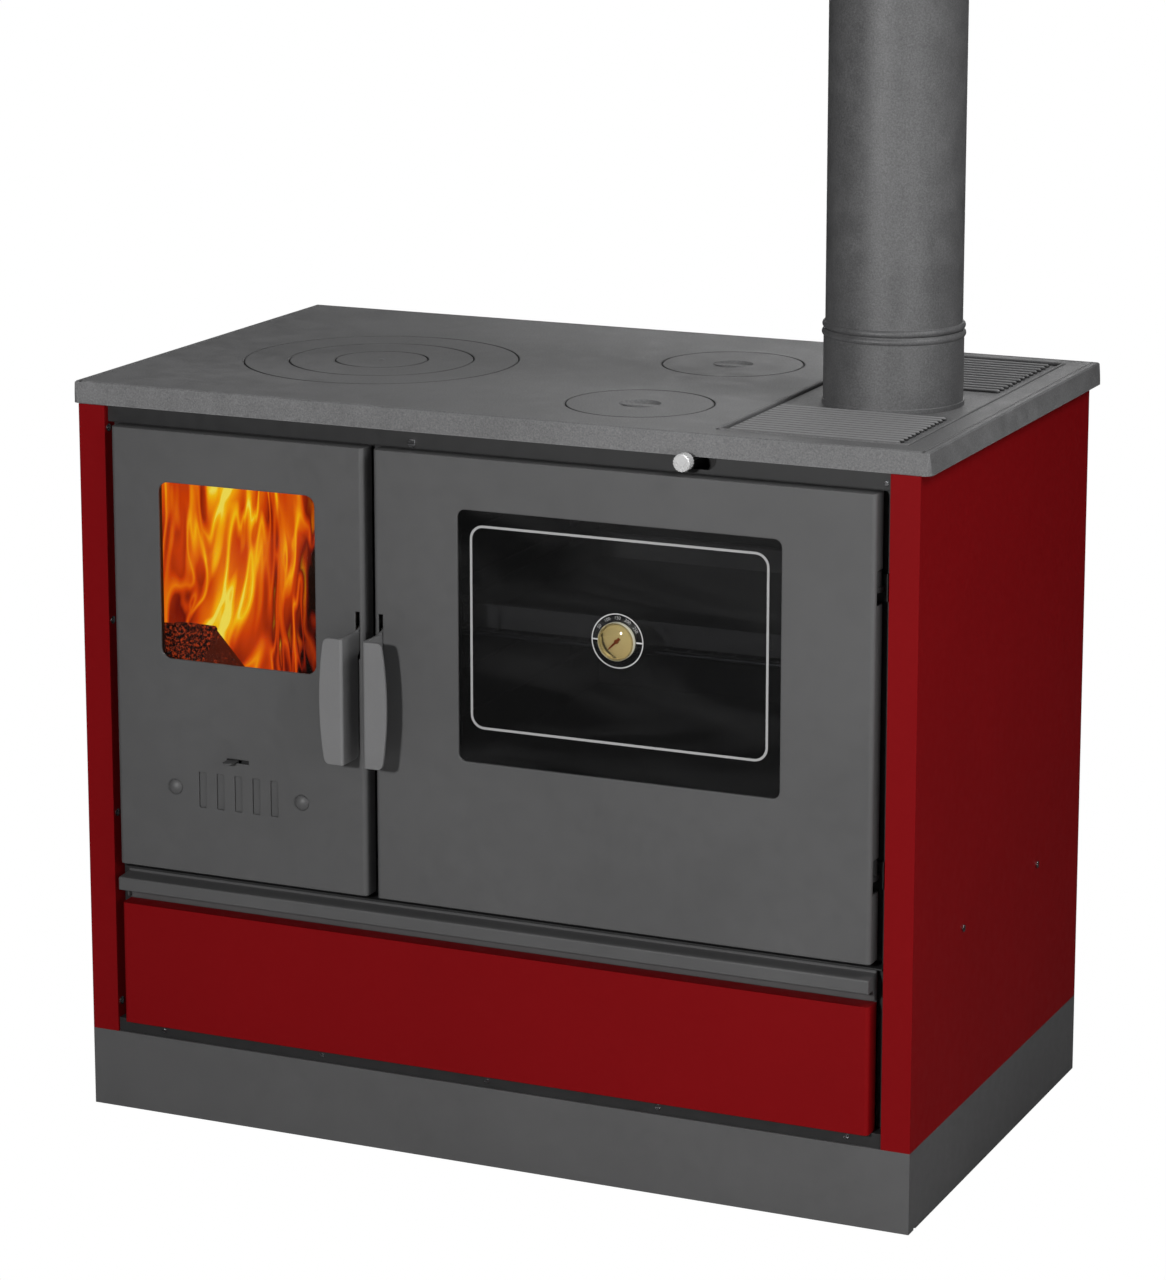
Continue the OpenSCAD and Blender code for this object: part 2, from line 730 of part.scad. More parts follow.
// Folded door skin: a front with round upright edges and returns on all four sides
module folded_skin(x, z) {
    difference() {
        translate([x[0], door_y0, z[0]]) linear_extrude(z[1] - z[0]) difference() {
            union() {
                round_rect(x[1] - x[0], skin_depth, fold_r);
                translate([0, fold_r]) square([x[1] - x[0], skin_depth - fold_r]);
            }
        }
        translate([x[0], door_y0, z[0] + sheet_t]) linear_extrude(z[1] - z[0] - 2 * sheet_t)
            translate([sheet_t, sheet_t]) {
                round_rect(x[1] - x[0] - 2 * sheet_t, skin_depth, fold_r - sheet_t);
                translate([0, fold_r]) square([x[1] - x[0] - 2 * sheet_t, skin_depth]);
            }
    }
}

// Room that a fixed hinge half needs in the door; x is the door's hinged edge
module hinge_notch(x) {
    for (z = hinge_z) block([x - 2, -3, z - 12.6], [x + 17, 30, z + lug_t + knuckle_h + 0.6]);
}

module knuckles(x) {
    for (z = hinge_z) difference() {
        translate([x + pivot_in, pivot_y, z + lug_t + 0.4]) union() {
            cylinder(r = 6.5, h = knuckle_h - 0.4);
            translate([0, -6.5, 0]) cube([12.5, 13, knuckle_h - 0.4]);
        }
        translate([x + pivot_in, pivot_y, z]) cylinder(r = pin_r + pin_fit, h = 60);
    }
}

// A flat ring with square corners, seen from the front
module frame_ring(x, z, w, y, t) {
    difference() {
        block([x[0], y, z[0]], [x[1], y + t, z[1]]);
        block([x[0] + w, y - 1, z[0] + w], [x[1] - w, y + t + 1, z[1] - w]);
    }
}

// Latch handle of the left-hand door, folded from one plate, with its gap-side face at x = 0:
// a side wall that runs back into the door as the latch lever, and a front face with a crowned edge
module latch_handle() {
    mid_z = (handle_z0 + handle_z1) / 2;
    back = door_y0 - 4;
    fold = 3;
    half = (handle_z1 - handle_z0) / 2;
    corner = [grip_corner_r - grip_w + 5, half - grip_corner_r];
    difference() {
        intersection() {
            block([-grip_w, front_y, handle_z0], [-fold, front_y + grip_t, handle_z1]);
            rod_y([grip_crown_r - grip_w, front_y - 1, mid_z], grip_crown_r, grip_t + 2, $fn = 256);
        }
        for (s = [0, 1]) translate([0, 0, mid_z]) mirror([0, 0, s]) difference() {
            block([-grip_w - 1, front_y - 1, corner[1]], [corner[0], 0, half + 1]);
            rod_y([corner[0], front_y - 2, corner[1]], grip_corner_r, 9);
        }
    }
    rod_z([-fold, front_y + fold, handle_z0], fold, handle_z1 - handle_z0);
    block([-lever_t, front_y + fold, handle_z0], [0, back - 8, handle_z1]);
    block([-lever_t, back - 8 - eps, handle_z0 + 8], [0, back, handle_z1]);
    rod_x([-lever_t, back - 8, handle_z0 + 8], 8, lever_t);
    along_x(-lever_t, lever_t) polygon([[back - 1, latch_z - 28], [back - 1, latch_z + 1],
        [latch_y, latch_z + 6], [latch_y + 14, latch_z + 3], [latch_y + 14, latch_z - 3],
        [latch_y + 4, latch_z - 5.5], [latch_y - 8, latch_z - 16]]);
    rod_x([-lever_t, latch_y, latch_z], 6, lever_t);
    rod_x([-lever_t - 4.3, latch_y, latch_z], latch_pin_r, lever_t + 6.6);
}

// Two ears on the door frame that hold the latch pin; x is the gap-side face of the handle
module latch_ears(x) {
    for (s = [[x - lever_t - 4.5, x - lever_t - 0.4], [x + 0.4, x + 2.4]]) difference() {
        block([s[0], latch_y - 5, latch_z - 41], [s[1], latch_y + 5, latch_z + 5.5]);
        rod_x([s[0] - 1, latch_y, latch_z], latch_pin_r + pin_fit, 10);
    }
}

// Room that the latch needs in the door frame, left of the handle's gap-side face at x
module latch_room(x) {
    block([x - lever_t - 5.5, 0, latch_z - 40], [x + 12, 20, latch_z + 26]);
}

// Edge strips that tie the ears to the frame
module latch_ties(x) {
    block([x - lever_t - 6, 4, latch_z - 41], [x + 2.9, 10, latch_z - 39]);
    block([x - lever_t - 6, 4, latch_z - 42], [x - lever_t - 4.4, 10, latch_z + 28]);
}

// Slot in the door's front that the latch lever passes through
module latch_slot(x) {
    block([x - lever_t - 0.9, -20, latch_z - 30], [x + 0.9, 0, latch_z + 23]);
}

// ---------- firebox door ----------

fire_grip_x = fire_x1 - grip_in;
oven_grip_x = oven_x0 + grip_in;

module fire_door_skin() {
    color("#5a5a5c") in_place() difference() {
        folded_skin([door_x0, fire_x1], [door_z0, door_z1]);
        pane(fire_win_x, fire_win_z, -20, 30, 12);
        for (i = [-2:2]) pane([vent_x + vent_pitch * i - vent_w / 2, vent_x + vent_pitch * i + vent_w / 2],
            [vent_z - vent_h / 2, vent_z + vent_h / 2], -20, 20, 1);
        block([tab_x - 1, -20, tab_slot_z - 2.2], [tab_x + tab_w + vent_travel + 3, 0, tab_slot_z + 2.2]);
        for (s = [-1, 1]) rod_y([vent_x + s * 80.5, -20, vent_z], 3, 20);
        latch_slot(fire_grip_x);
        hinge_notch(door_x0);
    }
}

module fire_door_frame() {
    x = [door_x0 + 3, fire_x1 - 3];
    z = [door_z0 + 4, door_z1 - 4];
    color("#3a3a3c") in_place() difference() {
        union() {
            difference() {
                block([x[0], 4, z[0]], [x[1], 10, z[1]]);
                block([fire_win_x[0] - 6, 0, fire_win_z[0] - 6], [fire_win_x[1] + 6, 20, fire_win_z[1] + 6]);
                block([vent_x - 66, 0, vent_z - 28], [vent_x + 66, 20, vent_z + 28]);
                hinge_notch(door_x0);
                latch_room(fire_grip_x);
            }
            // raised ribs that hold the sealing rope
            frame_ring([x[0] + 22, x[1] - 14], [z[0] + 14, z[1] - 14], 3, 10, 8);
            frame_ring([x[0] + 36, x[1] - 28], [z[0] + 28, z[1] - 28], 3, 10, 6);
            knuckles(door_x0);
            latch_ears(fire_grip_x);
            latch_ties(fire_grip_x);
        }
    }
}

module fire_door_glass() {
    color("#30281c") in_place()
        pane([fire_win_x[0] - 9, fire_win_x[1] + 9], [fire_win_z[0] - 9, fire_win_z[1] + 9],
             door_y0 + sheet_t, 4, 6);
}

// Four spring clips that press the glass against the skin, each with its screw
module fire_glass_clips() {
    y = door_y0 + sheet_t + 4;
    color("#9a9a9c") in_place()
        for (x = [fire_win_x[0] + 30, fire_win_x[1] - 30], s = [0, 1]) {
            z = fire_win_z[s] + (s == 0 ? -9 : 9);
            dir = s == 0 ? -1 : 1;
            translate([x - 8, 0, z]) mirror([0, 0, s == 0 ? 1 : 0]) {
                block([0, y, -7], [16, y + 1.5, 2]);
                block([0, door_y0 + sheet_t, 0.5], [16, y + 1.5, 2]);
                block([0, door_y0 + sheet_t, 0.5], [16, door_y0 + sheet_t + 1.5, 14]);
                rod_y([8, door_y0 + sheet_t + 1.5, 9], 3.5, 2.5);
            }
        }
}

module fire_door_seal() {
    x = [door_x0 + 3, fire_x1 - 3];
    z = [door_z0 + 4, door_z1 - 4];
    color("#4a463e") in_place()
        frame_ring([x[0] + 25.2, x[1] - 17.2], [z[0] + 17.2, z[1] - 17.2], 10.6, 10, 11);
}

module air_guide() {
    y = -2.2;
    color("#6a6c6e") in_place() difference() {
        union() {
            block([vent_x - 92, y, vent_z - 30], [vent_x + 92, y + 1.5, vent_z + 30]);
            for (s = [-1, 1]) block([vent_x + s * 80.5 - 10, door_y0 + sheet_t, vent_z - 30],
                                    [vent_x + s * 80.5 + 10, y + eps, vent_z + 30]);
        }
        for (i = [-2:2]) pane([vent_x + vent_pitch * i - vent_w / 2, vent_x + vent_pitch * i + vent_w / 2],
            [vent_z - vent_h / 2, vent_z + vent_h / 2], -20, 30, 1);
        for (s = [-1, 1]) rod_y([vent_x + s * 80.5, -20, vent_z], 3, 40);
    }
}

// Two domed rivets through the skin and the guide
module air_rivets() {
    color("#8a8c8e") in_place() for (s = [-1, 1]) translate([vent_x + s * 80.5, 0, vent_z]) {
        intersection() {
            translate([0, door_y0 + 7, 0]) sphere(r = 11.8);
            rod_y([0, door_y0 - 8, 0], 9.2, 8);
        }
        rod_y([0, door_y0 - eps, 0], 2.95, 9);
    }
}

module air_shutter() {
    y = door_y0 + sheet_t + 0.5;
    x = [vent_x - 64, vent_x + 52];
    color("#5e6062") in_place() {
        difference() {
            union() {
                block([x[0], y, vent_z - 25], [x[1], y + 1.5, vent_z + 25]);
                block([tab_x, y, vent_z], [tab_x + tab_w, y + 1.5, tab_slot_z + 0.8]);
            }
            for (i = [-2:2]) {
                c = vent_x + vent_pitch * i - vent_travel;
                pane([c - vent_w / 2, c + vent_w / 2], [vent_z - vent_h / 2, vent_z + vent_h / 2], -20, 30, 1);
            }
        }
        // tongue with a round end that comes out of its slot
        block([tab_x, door_y0 - 10, tab_slot_z - 0.8], [tab_x + tab_w, y + 1, tab_slot_z + 0.8]);
        rod_z([tab_x + tab_w / 2, door_y0 - 10, tab_slot_z - 0.8], tab_w / 2, 1.6);
    }
}

module fire_handle() { color("#58585a") in_place() translate([fire_grip_x, 0, 0]) latch_handle(); }

// ---------- oven door ----------

module oven_door_skin() {
    color("#5a5a5c") in_place() difference() {
        folded_skin([oven_x0, door_x1], [door_z0, door_z1]);
        pane(oven_win_x, oven_win_z, -20, 30, 9);
        translate([2 * oven_grip_x, 0, 0]) mirror([1, 0, 0]) latch_slot(oven_grip_x);
        translate([body_w, 0, 0]) mirror([1, 0, 0]) hinge_notch(door_x0);
    }
}

module oven_door_frame() {
    x = [oven_x0 + 3, door_x1 - 3];
    z = [door_z0 + 4, door_z1 - 4];
    color("#3a3a3c") in_place() union() {
        difference() {
            block([x[0], 4, z[0]], [x[1], 10, z[1]]);
            block([oven_win_x[0] - 4, 0, oven_win_z[0] - 4], [oven_win_x[1] + 4, 20, oven_win_z[1] + 4]);
            translate([body_w, 0, 0]) mirror([1, 0, 0]) hinge_notch(door_x0);
            translate([2 * oven_grip_x, 0, 0]) mirror([1, 0, 0]) latch_room(oven_grip_x);
        }
        frame_ring([x[0] + 22, x[1] - 22], [z[0] + 14, z[1] - 14], 3, 10, 8);
        frame_ring([x[0] + 36, x[1] - 36], [z[0] + 28, z[1] - 28], 3, 10, 6);
        translate([body_w, 0, 0]) mirror([1, 0, 0]) knuckles(door_x0);
        translate([2 * oven_grip_x, 0, 0]) mirror([1, 0, 0]) {
            latch_ears(oven_grip_x);
            latch_ties(oven_grip_x);
        }
    }
}

module oven_door_glass() {
    color("#1a1a1c") in_place() difference() {
        pane([oven_win_x[0] - 9, oven_win_x[1] + 9], [oven_win_z[0] - 9, oven_win_z[1] + 9],
             door_y0 + sheet_t, 4, 6);
        rod_y([dial_x, -20, dial_z], dial_r - 5, 40);
    }
}

module oven_inner_glass() {
    color("#26262a") in_place()
        pane([oven_win_x[0] - 12, oven_win_x[1] + 12], [oven_win_z[0] - 12, oven_win_z[1] + 12], 10, 4, 4);
}

module oven_door_seal() {
    x = [oven_x0 + 3, door_x1 - 3];
    z = [door_z0 + 4, door_z1 - 4];
    color("#4a463e") in_place()
        frame_ring([x[0] + 25.2, x[1] - 25.2], [z[0] + 17.2, z[1] - 17.2], 10.6, 10, 11);
}

// Cup behind the glass, dial and bezel in front of it
module thermometer_case() {
    y = door_y0 + sheet_t;
    color("#b09a62") in_place() translate([dial_x, y, dial_z]) rotate([90, 0, 0]) rotate_extrude($fn = 72)
        difference() {
            union() {
            translate([0, -10]) square([dial_r - 5.3, 12]);
            translate([0, 0]) square([dial_r, 2]);
            translate([dial_r - 2, 0]) square([2, 5]);
            }
            // bore for the needle's shaft
            translate([-1, -6]) square([1 + needle_r + pin_fit, 12]);
        }
}

module thermometer_needle() {
    y = door_y0 + sheet_t - 2.6;
    color("#a03020") in_place() {
        rod_y([dial_x, y - 1.2, dial_z], 2.4, 1.2);
        rod_y([dial_x, y - eps, dial_z], needle_r, 5.5);
        // at rest, cold, the needle points down and to the left
        translate([dial_x, y, dial_z]) rotate([90, 0, 0]) rotate(135) linear_extrude(0.8)
            polygon([[-1.6, -5], [1.6, -5], [0.5, 14], [-0.5, 14]]);
    }
}

module thermometer_lens() {
    y = door_y0 + sheet_t - 5;
    color("#c8c0a0") in_place() translate([dial_x, y, dial_z]) rotate([90, 0, 0]) difference() {
        intersection() {
            translate([0, 0, -38]) sphere(r = 43.3, $fn = 96);
            cylinder(r = dial_r, h = 10, $fn = 96);
        }
        intersection() {
            translate([0, 0, -39.5]) sphere(r = 43.3, $fn = 96);
            translate([0, 0, -1]) cylinder(r = dial_r - 1.5, h = 10, $fn = 96);
        }
    }
}

module oven_handle() {
    color("#727274") in_place() translate([oven_grip_x, 0, 0]) mirror([1, 0, 0]) latch_handle();
}

// ---------- fuel drawer ----------

module drawer_front() {
    color("#801214") in_place() folded_skin([door_x0 + 1, door_x1], [drawer_z0, drawer_z1]);
}

// Finger rail along the top of the drawer front: sloping top, lip and an end plate each side
module drawer_pull_rail() {
    y0 = door_y0 - 4;
    z0 = drawer_z1;
    lip_z = drawer_z1 + 19;
    top_z = drawer_z1 + 37;
    color("#58585a") in_place() {
        along_x(door_x0, door_x1 - door_x0) polygon([
            [y0, lip_z - 3], [y0 + 2, lip_z - 3], [y0 + 2, lip_z + 10], [12, lip_z + 11], [14, lip_z + 9],
            [14, z0], [skin_y1 + 2, z0], [skin_y1 + 2, top_z], [12, top_z], [12, lip_z + 13.5],
            [y0 + 1, lip_z + 12], [y0, lip_z + 11]]);
        for (x = [door_x0, door_x1 - 2])
            along_x(x, 2) polygon([[y0, lip_z - 1], [y0 + 2, lip_z - 3], [5, lip_z - 3], [8, z0 + 3],
                [15, z0 + 3], [15, top_z], [12, top_z], [12, lip_z + 13.5], [y0 + 1, lip_z + 12]]);
    }
}

module drawer_box() {
    x = [66, body_w - 66];
    color("#6a6c6e") in_place() {
        sheet_tray([x[0], skin_y1, drawer_z0 + 6], [x[1], skin_y1 + drawer_depth, 232], 1.5);
        // flanges that slide on the rails
        for (s = [[50, x[0] + eps], [x[1] - eps, body_w - 50]])
            block([s[0], inside_y + 5, 193], [s[1], skin_y1 + drawer_depth, 195]);
    }
}

// ---------- damper ----------

module damper_knob() {
    color("#e8e8ea") in_place() difference() {
        union() {
            rod_y([damper_x, knob_y, damper_z], knob_r, 11);
            rod_y([damper_x, knob_y - 1, damper_z], knob_r - 1.2, 13);
            rod_y([damper_x, knob_y + 10, damper_z], 5.5, 4);
        }
        rod_y([damper_x, knob_y + 4, damper_z], rod_r, 20);
        for (i = [0:17]) translate([damper_x, 0, damper_z]) rotate([0, 20 * i, 0])
            rod_y([knob_r + 0.5, knob_y - 12, 0], 1, 40);
    }
}

// Rod and the plate on its end that shuts the direct way to the flue
module damper_slide() {
    y0 = flue_pos[1] - 88;
    color("#6a6c6e") in_place() {
        rod_y([damper_x, knob_y + 4, damper_z], rod_r, y0 + 20 - knob_y);
        block([damper_x - 12, y0, damper_z - 1.5], [flue_pos[0] + 82, flue_pos[1] + 88, damper_z + 1.5]);
    }
}

// ---------- one line for each node ----------

plinth_front();
plinth_sides();
plinth_back();
levelling_feet();
base_pan();
side_panel_left();
side_panel_right();
back_panel();
fascia();
frame_stiles();
frame_rails();
sill_strip();
hob_plate();
flue_plate();
flue_collar();
flue_pipe();
firebox_shell();
firebrick_sides();
firebrick_back();
fire_grate();
log_bar();
ash_pan();
smoke_deck();
oven_liner();
oven_runners();
oven_rack();
baking_tray();
drawer_rails();
hinge_lugs();
latch_keepers();
case_screws();
fire_door_skin();
fire_door_frame();
fire_door_glass();
fire_glass_clips();
fire_door_seal();
air_guide();
air_rivets();
air_shutter();
fire_handle();
oven_door_skin();
oven_door_frame();
oven_door_glass();
oven_inner_glass();
oven_door_seal();
thermometer_case();
thermometer_needle();
thermometer_lens();
oven_handle();
drawer_front();
drawer_pull_rail();
drawer_box();
damper_knob();
damper_slide();
hob_ring_outer();
hob_ring_middle();
hob_disc();
front_lid();
rear_lid();
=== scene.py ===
"""Finishes, fire, print, light and camera for a wood-fired range cooker.

The cooker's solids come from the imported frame. The operators below give each one its
finish and add what the solids leave out: the bead round the flue plate, the print on the
oven glass, the thermometer's ring and numbers, the fire and the stage.
"""

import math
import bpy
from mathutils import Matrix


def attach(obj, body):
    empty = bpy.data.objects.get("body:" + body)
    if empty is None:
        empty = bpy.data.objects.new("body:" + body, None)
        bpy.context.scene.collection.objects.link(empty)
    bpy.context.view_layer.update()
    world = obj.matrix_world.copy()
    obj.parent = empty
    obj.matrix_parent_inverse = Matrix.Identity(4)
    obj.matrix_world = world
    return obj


bl_info = {
    "name": "Range cooker dressing",
    "version": (1, 0, 0),
    "blender": (4, 5, 0),
    "location": "3D Viewport > Sidebar > Cooker",
    "description": "Finishes, fire, print and studio for the range cooker",
    "category": "Object",
}

import bmesh
import bpy
from bpy.props import FloatProperty, FloatVectorProperty, IntProperty, PointerProperty
from mathutils import Matrix, Vector, noise

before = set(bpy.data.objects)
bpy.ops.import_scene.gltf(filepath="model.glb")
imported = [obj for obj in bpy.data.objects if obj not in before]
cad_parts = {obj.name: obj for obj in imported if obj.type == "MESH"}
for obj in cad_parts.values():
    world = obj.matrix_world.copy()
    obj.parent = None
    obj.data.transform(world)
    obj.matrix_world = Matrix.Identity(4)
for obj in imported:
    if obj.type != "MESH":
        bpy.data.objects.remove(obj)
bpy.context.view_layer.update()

# Where the cabinet's front left corner is, in the frame's millimetres
CORNER = Vector((-500.0, -270.5, 0.0))

# Millimetres from that corner, for the painted shade and highlight on the cast iron: the joints in
# the hob as (x, y, radius), each drawn dark as painted shade in its gap, the groove inside its
# lip, drawn dark as painted shade, and the foot, flank and crest of the flue plate's ribs, with
# painted shade between the ribs and a painted highlight on their crests
JOINT_SHADE_CIRCLES = ((245, 268, 158.4), (245, 268, 106.4), (245, 268, 53.4),
              (627, 136, 81.4), (627, 405, 81.4))
LIP_GROOVE_SHADE_LINES = (("X", -0.3), ("X", 1000.3), ("Y", 581.3))
RIB_SHADE_AND_HIGHLIGHT_LEVELS = (847.05, 849, 850.8)
# The bead round the flue plate: its outline, and its section as (inward, height)
BEAD_OUTLINE = (760, 974.4, 32.4, 562.6)
BEAD_CORNER = 4.5
BEAD_SECTION = ((0, 844), (0, 850), (0.5, 850.9), (1.6, 851.3), (2.7, 850.9), (3.3, 850),
                (3.3, 846))
# The oven glass: its front face, the ink on it, and the line and the dial printed there
GLASS_FRONT = -6.0
INK_THICKNESS = 0.12
LINE_OUTLINE = (489, 836.5, 504, 731)
LINE_CORNER = 16
DIAL_CENTRE = (663, 619)
DIAL_RING = (28.9, 30.2)
DIAL_TICK_START, DIAL_TICK_HALF_WIDTH = 21.8, 0.8
DIAL_NUMBERS_RADIUS = 25.2
DIAL_FIRST_ANGLE, DIAL_SWEEP = 146, 112
DIAL_STEP = 50
DIAL_TEXT_SIZE, DIAL_TEXT_THINNING = 5.2, 0.08
# The flames' feet as (x, z), the near ones along the log's top, and the log's two split blocks
FAR_FOOT = ((96, 486), (309, 486))
NEAR_FOOT = ((74, 568), (120, 572), (151, 574), (190, 531), (331, 531))
LOG_BUTT = tuple((x, y, z) for y in (31, 34)
                 for x, z in ((74, 571), (112, 577), (112, 526), (74, 526)))
LOG_TRUNK = ((108, 31, 577), (153, 31, 576), (136, 31, 526), (108, 31, 526), (170, 62, 517),
             (100, 110, 566), (150, 110, 560), (158, 110, 500), (100, 110, 500))
BARK_RELIEF = 1.6

# The stage, in metres of the frame: each lamp's place, width, height and watts
LAMPS = {
    "key": ((0.0, -3.84, 1.6), 0.22, 0.22, 88),
    "near_right": ((1.6, -1.2, 0.8), 0.8, 0.8, 8.4),
    "high_right": ((2.09, -0.37, 2.62), 1.0, 1.0, 32),
    "top": ((0.0, 0.8, 3.2), 3.0, 2.0, 17),
    "back_top": ((0.0, 2.47, 2.97), 2.0, 2.0, 15),
    "behind": ((-0.9, 3.6, 1.0), 1.5, 1.5, 22),
}
LAMPS_AIM = Vector((0, 0, 0.5))
# The camera: place in millimetres from the corner, angles in degrees, and its focal length and
# shift in pixels of a view 1280 pixels high
CAMERA_PLACE = (2395.23, -3957.99, 1683.16)
CAMERA_TILT, CAMERA_TURN = 11.6396, 24.1562
FOCAL_LENGTH, VIEW_SHIFT, VIEW_HEIGHT = 4163.87, -160, 1280
SENSOR = 36


class CookerSettings(bpy.types.PropertyGroup):
    """Colours and sizes of the cooker's dressing."""

    red: FloatVectorProperty(name="Red enamel", description="Side panels and drawer front",
        default=(0.185, 0.0026, 0.0042), subtype="COLOR", min=0, max=1)
    door_grey: FloatVectorProperty(name="Door grey", description="Lacquer of the two doors",
        default=(0.081, 0.081, 0.082), subtype="COLOR", min=0, max=1)
    frame_grey: FloatVectorProperty(name="Frame grey", description="Lacquer of frame and fascia",
        default=(0.0175, 0.0175, 0.018), subtype="COLOR", min=0, max=1)
    cast_grey: FloatVectorProperty(name="Cast iron", description="Hob plate, rings and lids",
        default=(0.148, 0.148, 0.15), subtype="COLOR", min=0, max=1)
    pipe_grey: FloatVectorProperty(name="Pipe grey", description="Heat-proof paint of the pipe",
        default=(0.104, 0.104, 0.106), subtype="COLOR", min=0, max=1)
    grain: FloatProperty(name="Lacquer grain", description="Size of the lacquer's fine grain",
        default=0.0016, min=0.0005, max=0.01, unit="LENGTH")
    print_width: FloatProperty(name="Printed line", description="Width of the line on the glass",
        default=0.0028, min=0.001, max=0.006, unit="LENGTH")
    dial_steps: IntProperty(name="Dial steps", description="Numbers round the thermometer",
        default=5, min=3, max=9)
    flame_glow: FloatProperty(name="Flame strength", description="Brightness of the flames",
        default=1.55, min=0, max=5)


def settings():
    return bpy.context.scene.cooker


def at(x, y, z):
    """Frame position in metres of a point measured in millimetres from the cabinet's corner."""
    return (Vector((x, y, z)) + CORNER) / 1000


# ---------- shader helpers ----------


class Shader:
    """One material under construction: adds nodes and wires them."""

    def __init__(self, name):
        self.material = bpy.data.materials.new(name)
        self.material.use_nodes = True
        self.tree = self.material.node_tree
        self.tree.nodes.clear()
        self.out = self.node("ShaderNodeOutputMaterial")

    def node(self, kind, inputs=None, **settings_of_node):
        made = self.tree.nodes.new(kind)
        for key, value in settings_of_node.items():
            setattr(made, key, value)
        for key, value in (inputs or {}).items():
            if isinstance(value, bpy.types.NodeSocket):
                self.tree.links.new(value, made.inputs[key])
            else:
                made.inputs[key].default_value = value
        return made

    def place(self, stretch=(1, 1, 1), turn=(0, 0, 0)):
        """Object coordinates, stretched and turned."""
        coords = self.node("ShaderNodeTexCoord")
        return self.node("ShaderNodeMapping", {"Vector": coords.outputs["Object"],
            "Rotation": turn, "Scale": stretch}).outputs["Vector"]

    def noise(self, scale, detail=2.0, rough=0.5, stretch=(1, 1, 1), distortion=0.0, vector=None):
        return self.node("ShaderNodeTexNoise", {"Vector": vector or self.place(stretch),
            "Scale": scale, "Detail": detail, "Roughness": rough,
            "Distortion": distortion}).outputs["Fac"]

    def ramp(self, fac, *stops):
        """Colours along a value, from stops of (position, colour)."""
        made = self.node("ShaderNodeValToRGB", {"Fac": fac})
        band = made.color_ramp
        while len(band.elements) < len(stops):
            band.elements.new(0.5)
        for element, (position, colour) in zip(band.elements, stops):
            element.position = position
            element.color = (*colour, 1) if len(colour) == 3 else colour
        return made.outputs["Color"]

    def blend(self, fac, first, second):
        """Mixes a colour socket with another or with a plain colour."""
        if not isinstance(second, bpy.types.NodeSocket):
            second = (*second, 1)
        colour_a, colour_b, mixed = 6, 7, 2
        return self.node("ShaderNodeMix", {0: fac, colour_a: first, colour_b: second},
            data_type="RGBA").outputs[mixed]

    def spread(self, fac, low, high, start=0.0, end=1.0):
        """Maps a value between start and end to one between low and high."""
        return self.node("ShaderNodeMapRange", {"Value": fac, "From Min": start,
            "From Max": end, "To Min": low, "To Max": high}).outputs["Result"]

    def math(self, operation, a, b=0.0):
        made = self.node("ShaderNodeMath", operation=operation)
        for socket, value in zip(made.inputs, (a, b)):
            if isinstance(value, bpy.types.NodeSocket):
                self.tree.links.new(value, socket)
            else:
                socket.default_value = value
        return made.outputs["Value"]

    def bump(self, height, strength, distance, normal=None):
        inputs = {"Height": height, "Strength": strength, "Distance": distance}
        if normal:
            inputs["Normal"] = normal
        return self.node("ShaderNodeBump", inputs).outputs["Normal"]

    def soft_edge(self, radius):
        """A normal that rounds the edges off by a radius in metres."""
        return self.node("ShaderNodeBevel", {"Radius": radius}, samples=4).outputs["Normal"]

    def edge_wear_and_highlight_mask(self, radius):
        """1 on an edge, 0 on an open face."""
        face = self.node("ShaderNodeNewGeometry").outputs["True Normal"]
        dot = self.node("ShaderNodeVectorMath", {0: self.soft_edge(radius), 1: face},
            operation="DOT_PRODUCT").outputs["Value"]
        return self.spread(dot, 1.0, 0.0, 0.72, 0.97)

    def circle_line(self, centre, radius, width):
        """1 along a circle round an upright axis, fading to 0 over the width."""
        flat = self.node("ShaderNodeVectorMath", {0: self.place(), 1: (1, 1, 0)},
            operation="MULTIPLY").outputs["Vector"]
        reach = self.node("ShaderNodeVectorMath", {0: flat, 1: (centre[0], centre[1], 0)},
            operation="DISTANCE").outputs["Value"]
        off = self.math("ABSOLUTE", self.math("SUBTRACT", reach, radius))
        return self.spread(off, 1.0, 0.0, width * 0.35, width)

    def groove_line(self, axis, value, width=0.0022, top=0.8485):
        """1 on the hob's top along a straight line across the axis."""
        parts = self.node("ShaderNodeSeparateXYZ", {"Vector": self.place()}).outputs
        off = self.math("ABSOLUTE", self.math("SUBTRACT", parts[axis], value))
        on_top = self.math("GREATER_THAN", parts["Z"], top)
        return self.math("MULTIPLY", self.spread(off, 1.0, 0.0, width * 0.3, width), on_top)

    def surface(self, shader):
        self.tree.links.new(shader.outputs[0], self.out.inputs["Surface"])
        return self.material

    def principled(self, **inputs):
        named = {key.replace("_", " "): value for key, value in inputs.items()}
        return self.surface(self.node("ShaderNodeBsdfPrincipled", named))


def shade(colour, factor):
    """A colour made darker or lighter by a factor."""
    return tuple(min(1.0, part * factor) for part in colour)


def lacquer(name, colour, roughness=0.5, edge=0.0012, grain=None, relief=0.00006,
            mottle=0.08, coat=0.0, gloss=0.5):
    """Sprayed lacquer on sheet steel: fine orange peel, faint mottling, softened edges."""
    s = Shader(name)
    grain = grain or settings().grain
    broad = s.noise(5.0, 3.0, 0.55)
    fine = s.noise(1.0 / grain, 2.0, 0.6)
    tone = s.math("ADD", s.math("MULTIPLY", broad, 0.75), s.math("MULTIPLY", fine, 0.25))
    base = s.ramp(tone, (0.3, shade(colour, 1 - mottle)), (0.7, shade(colour, 1 + mottle)))
    rough = s.spread(s.noise(60.0, 3.0), roughness - 0.05, roughness + 0.06, 0.3, 0.7)
    normal = s.bump(fine, 0.55, relief, s.soft_edge(edge))
    return s.principled(Base_Color=base, Roughness=rough, Normal=normal,
        Specular_IOR_Level=gloss, Coat_Weight=coat, Coat_Roughness=0.18)


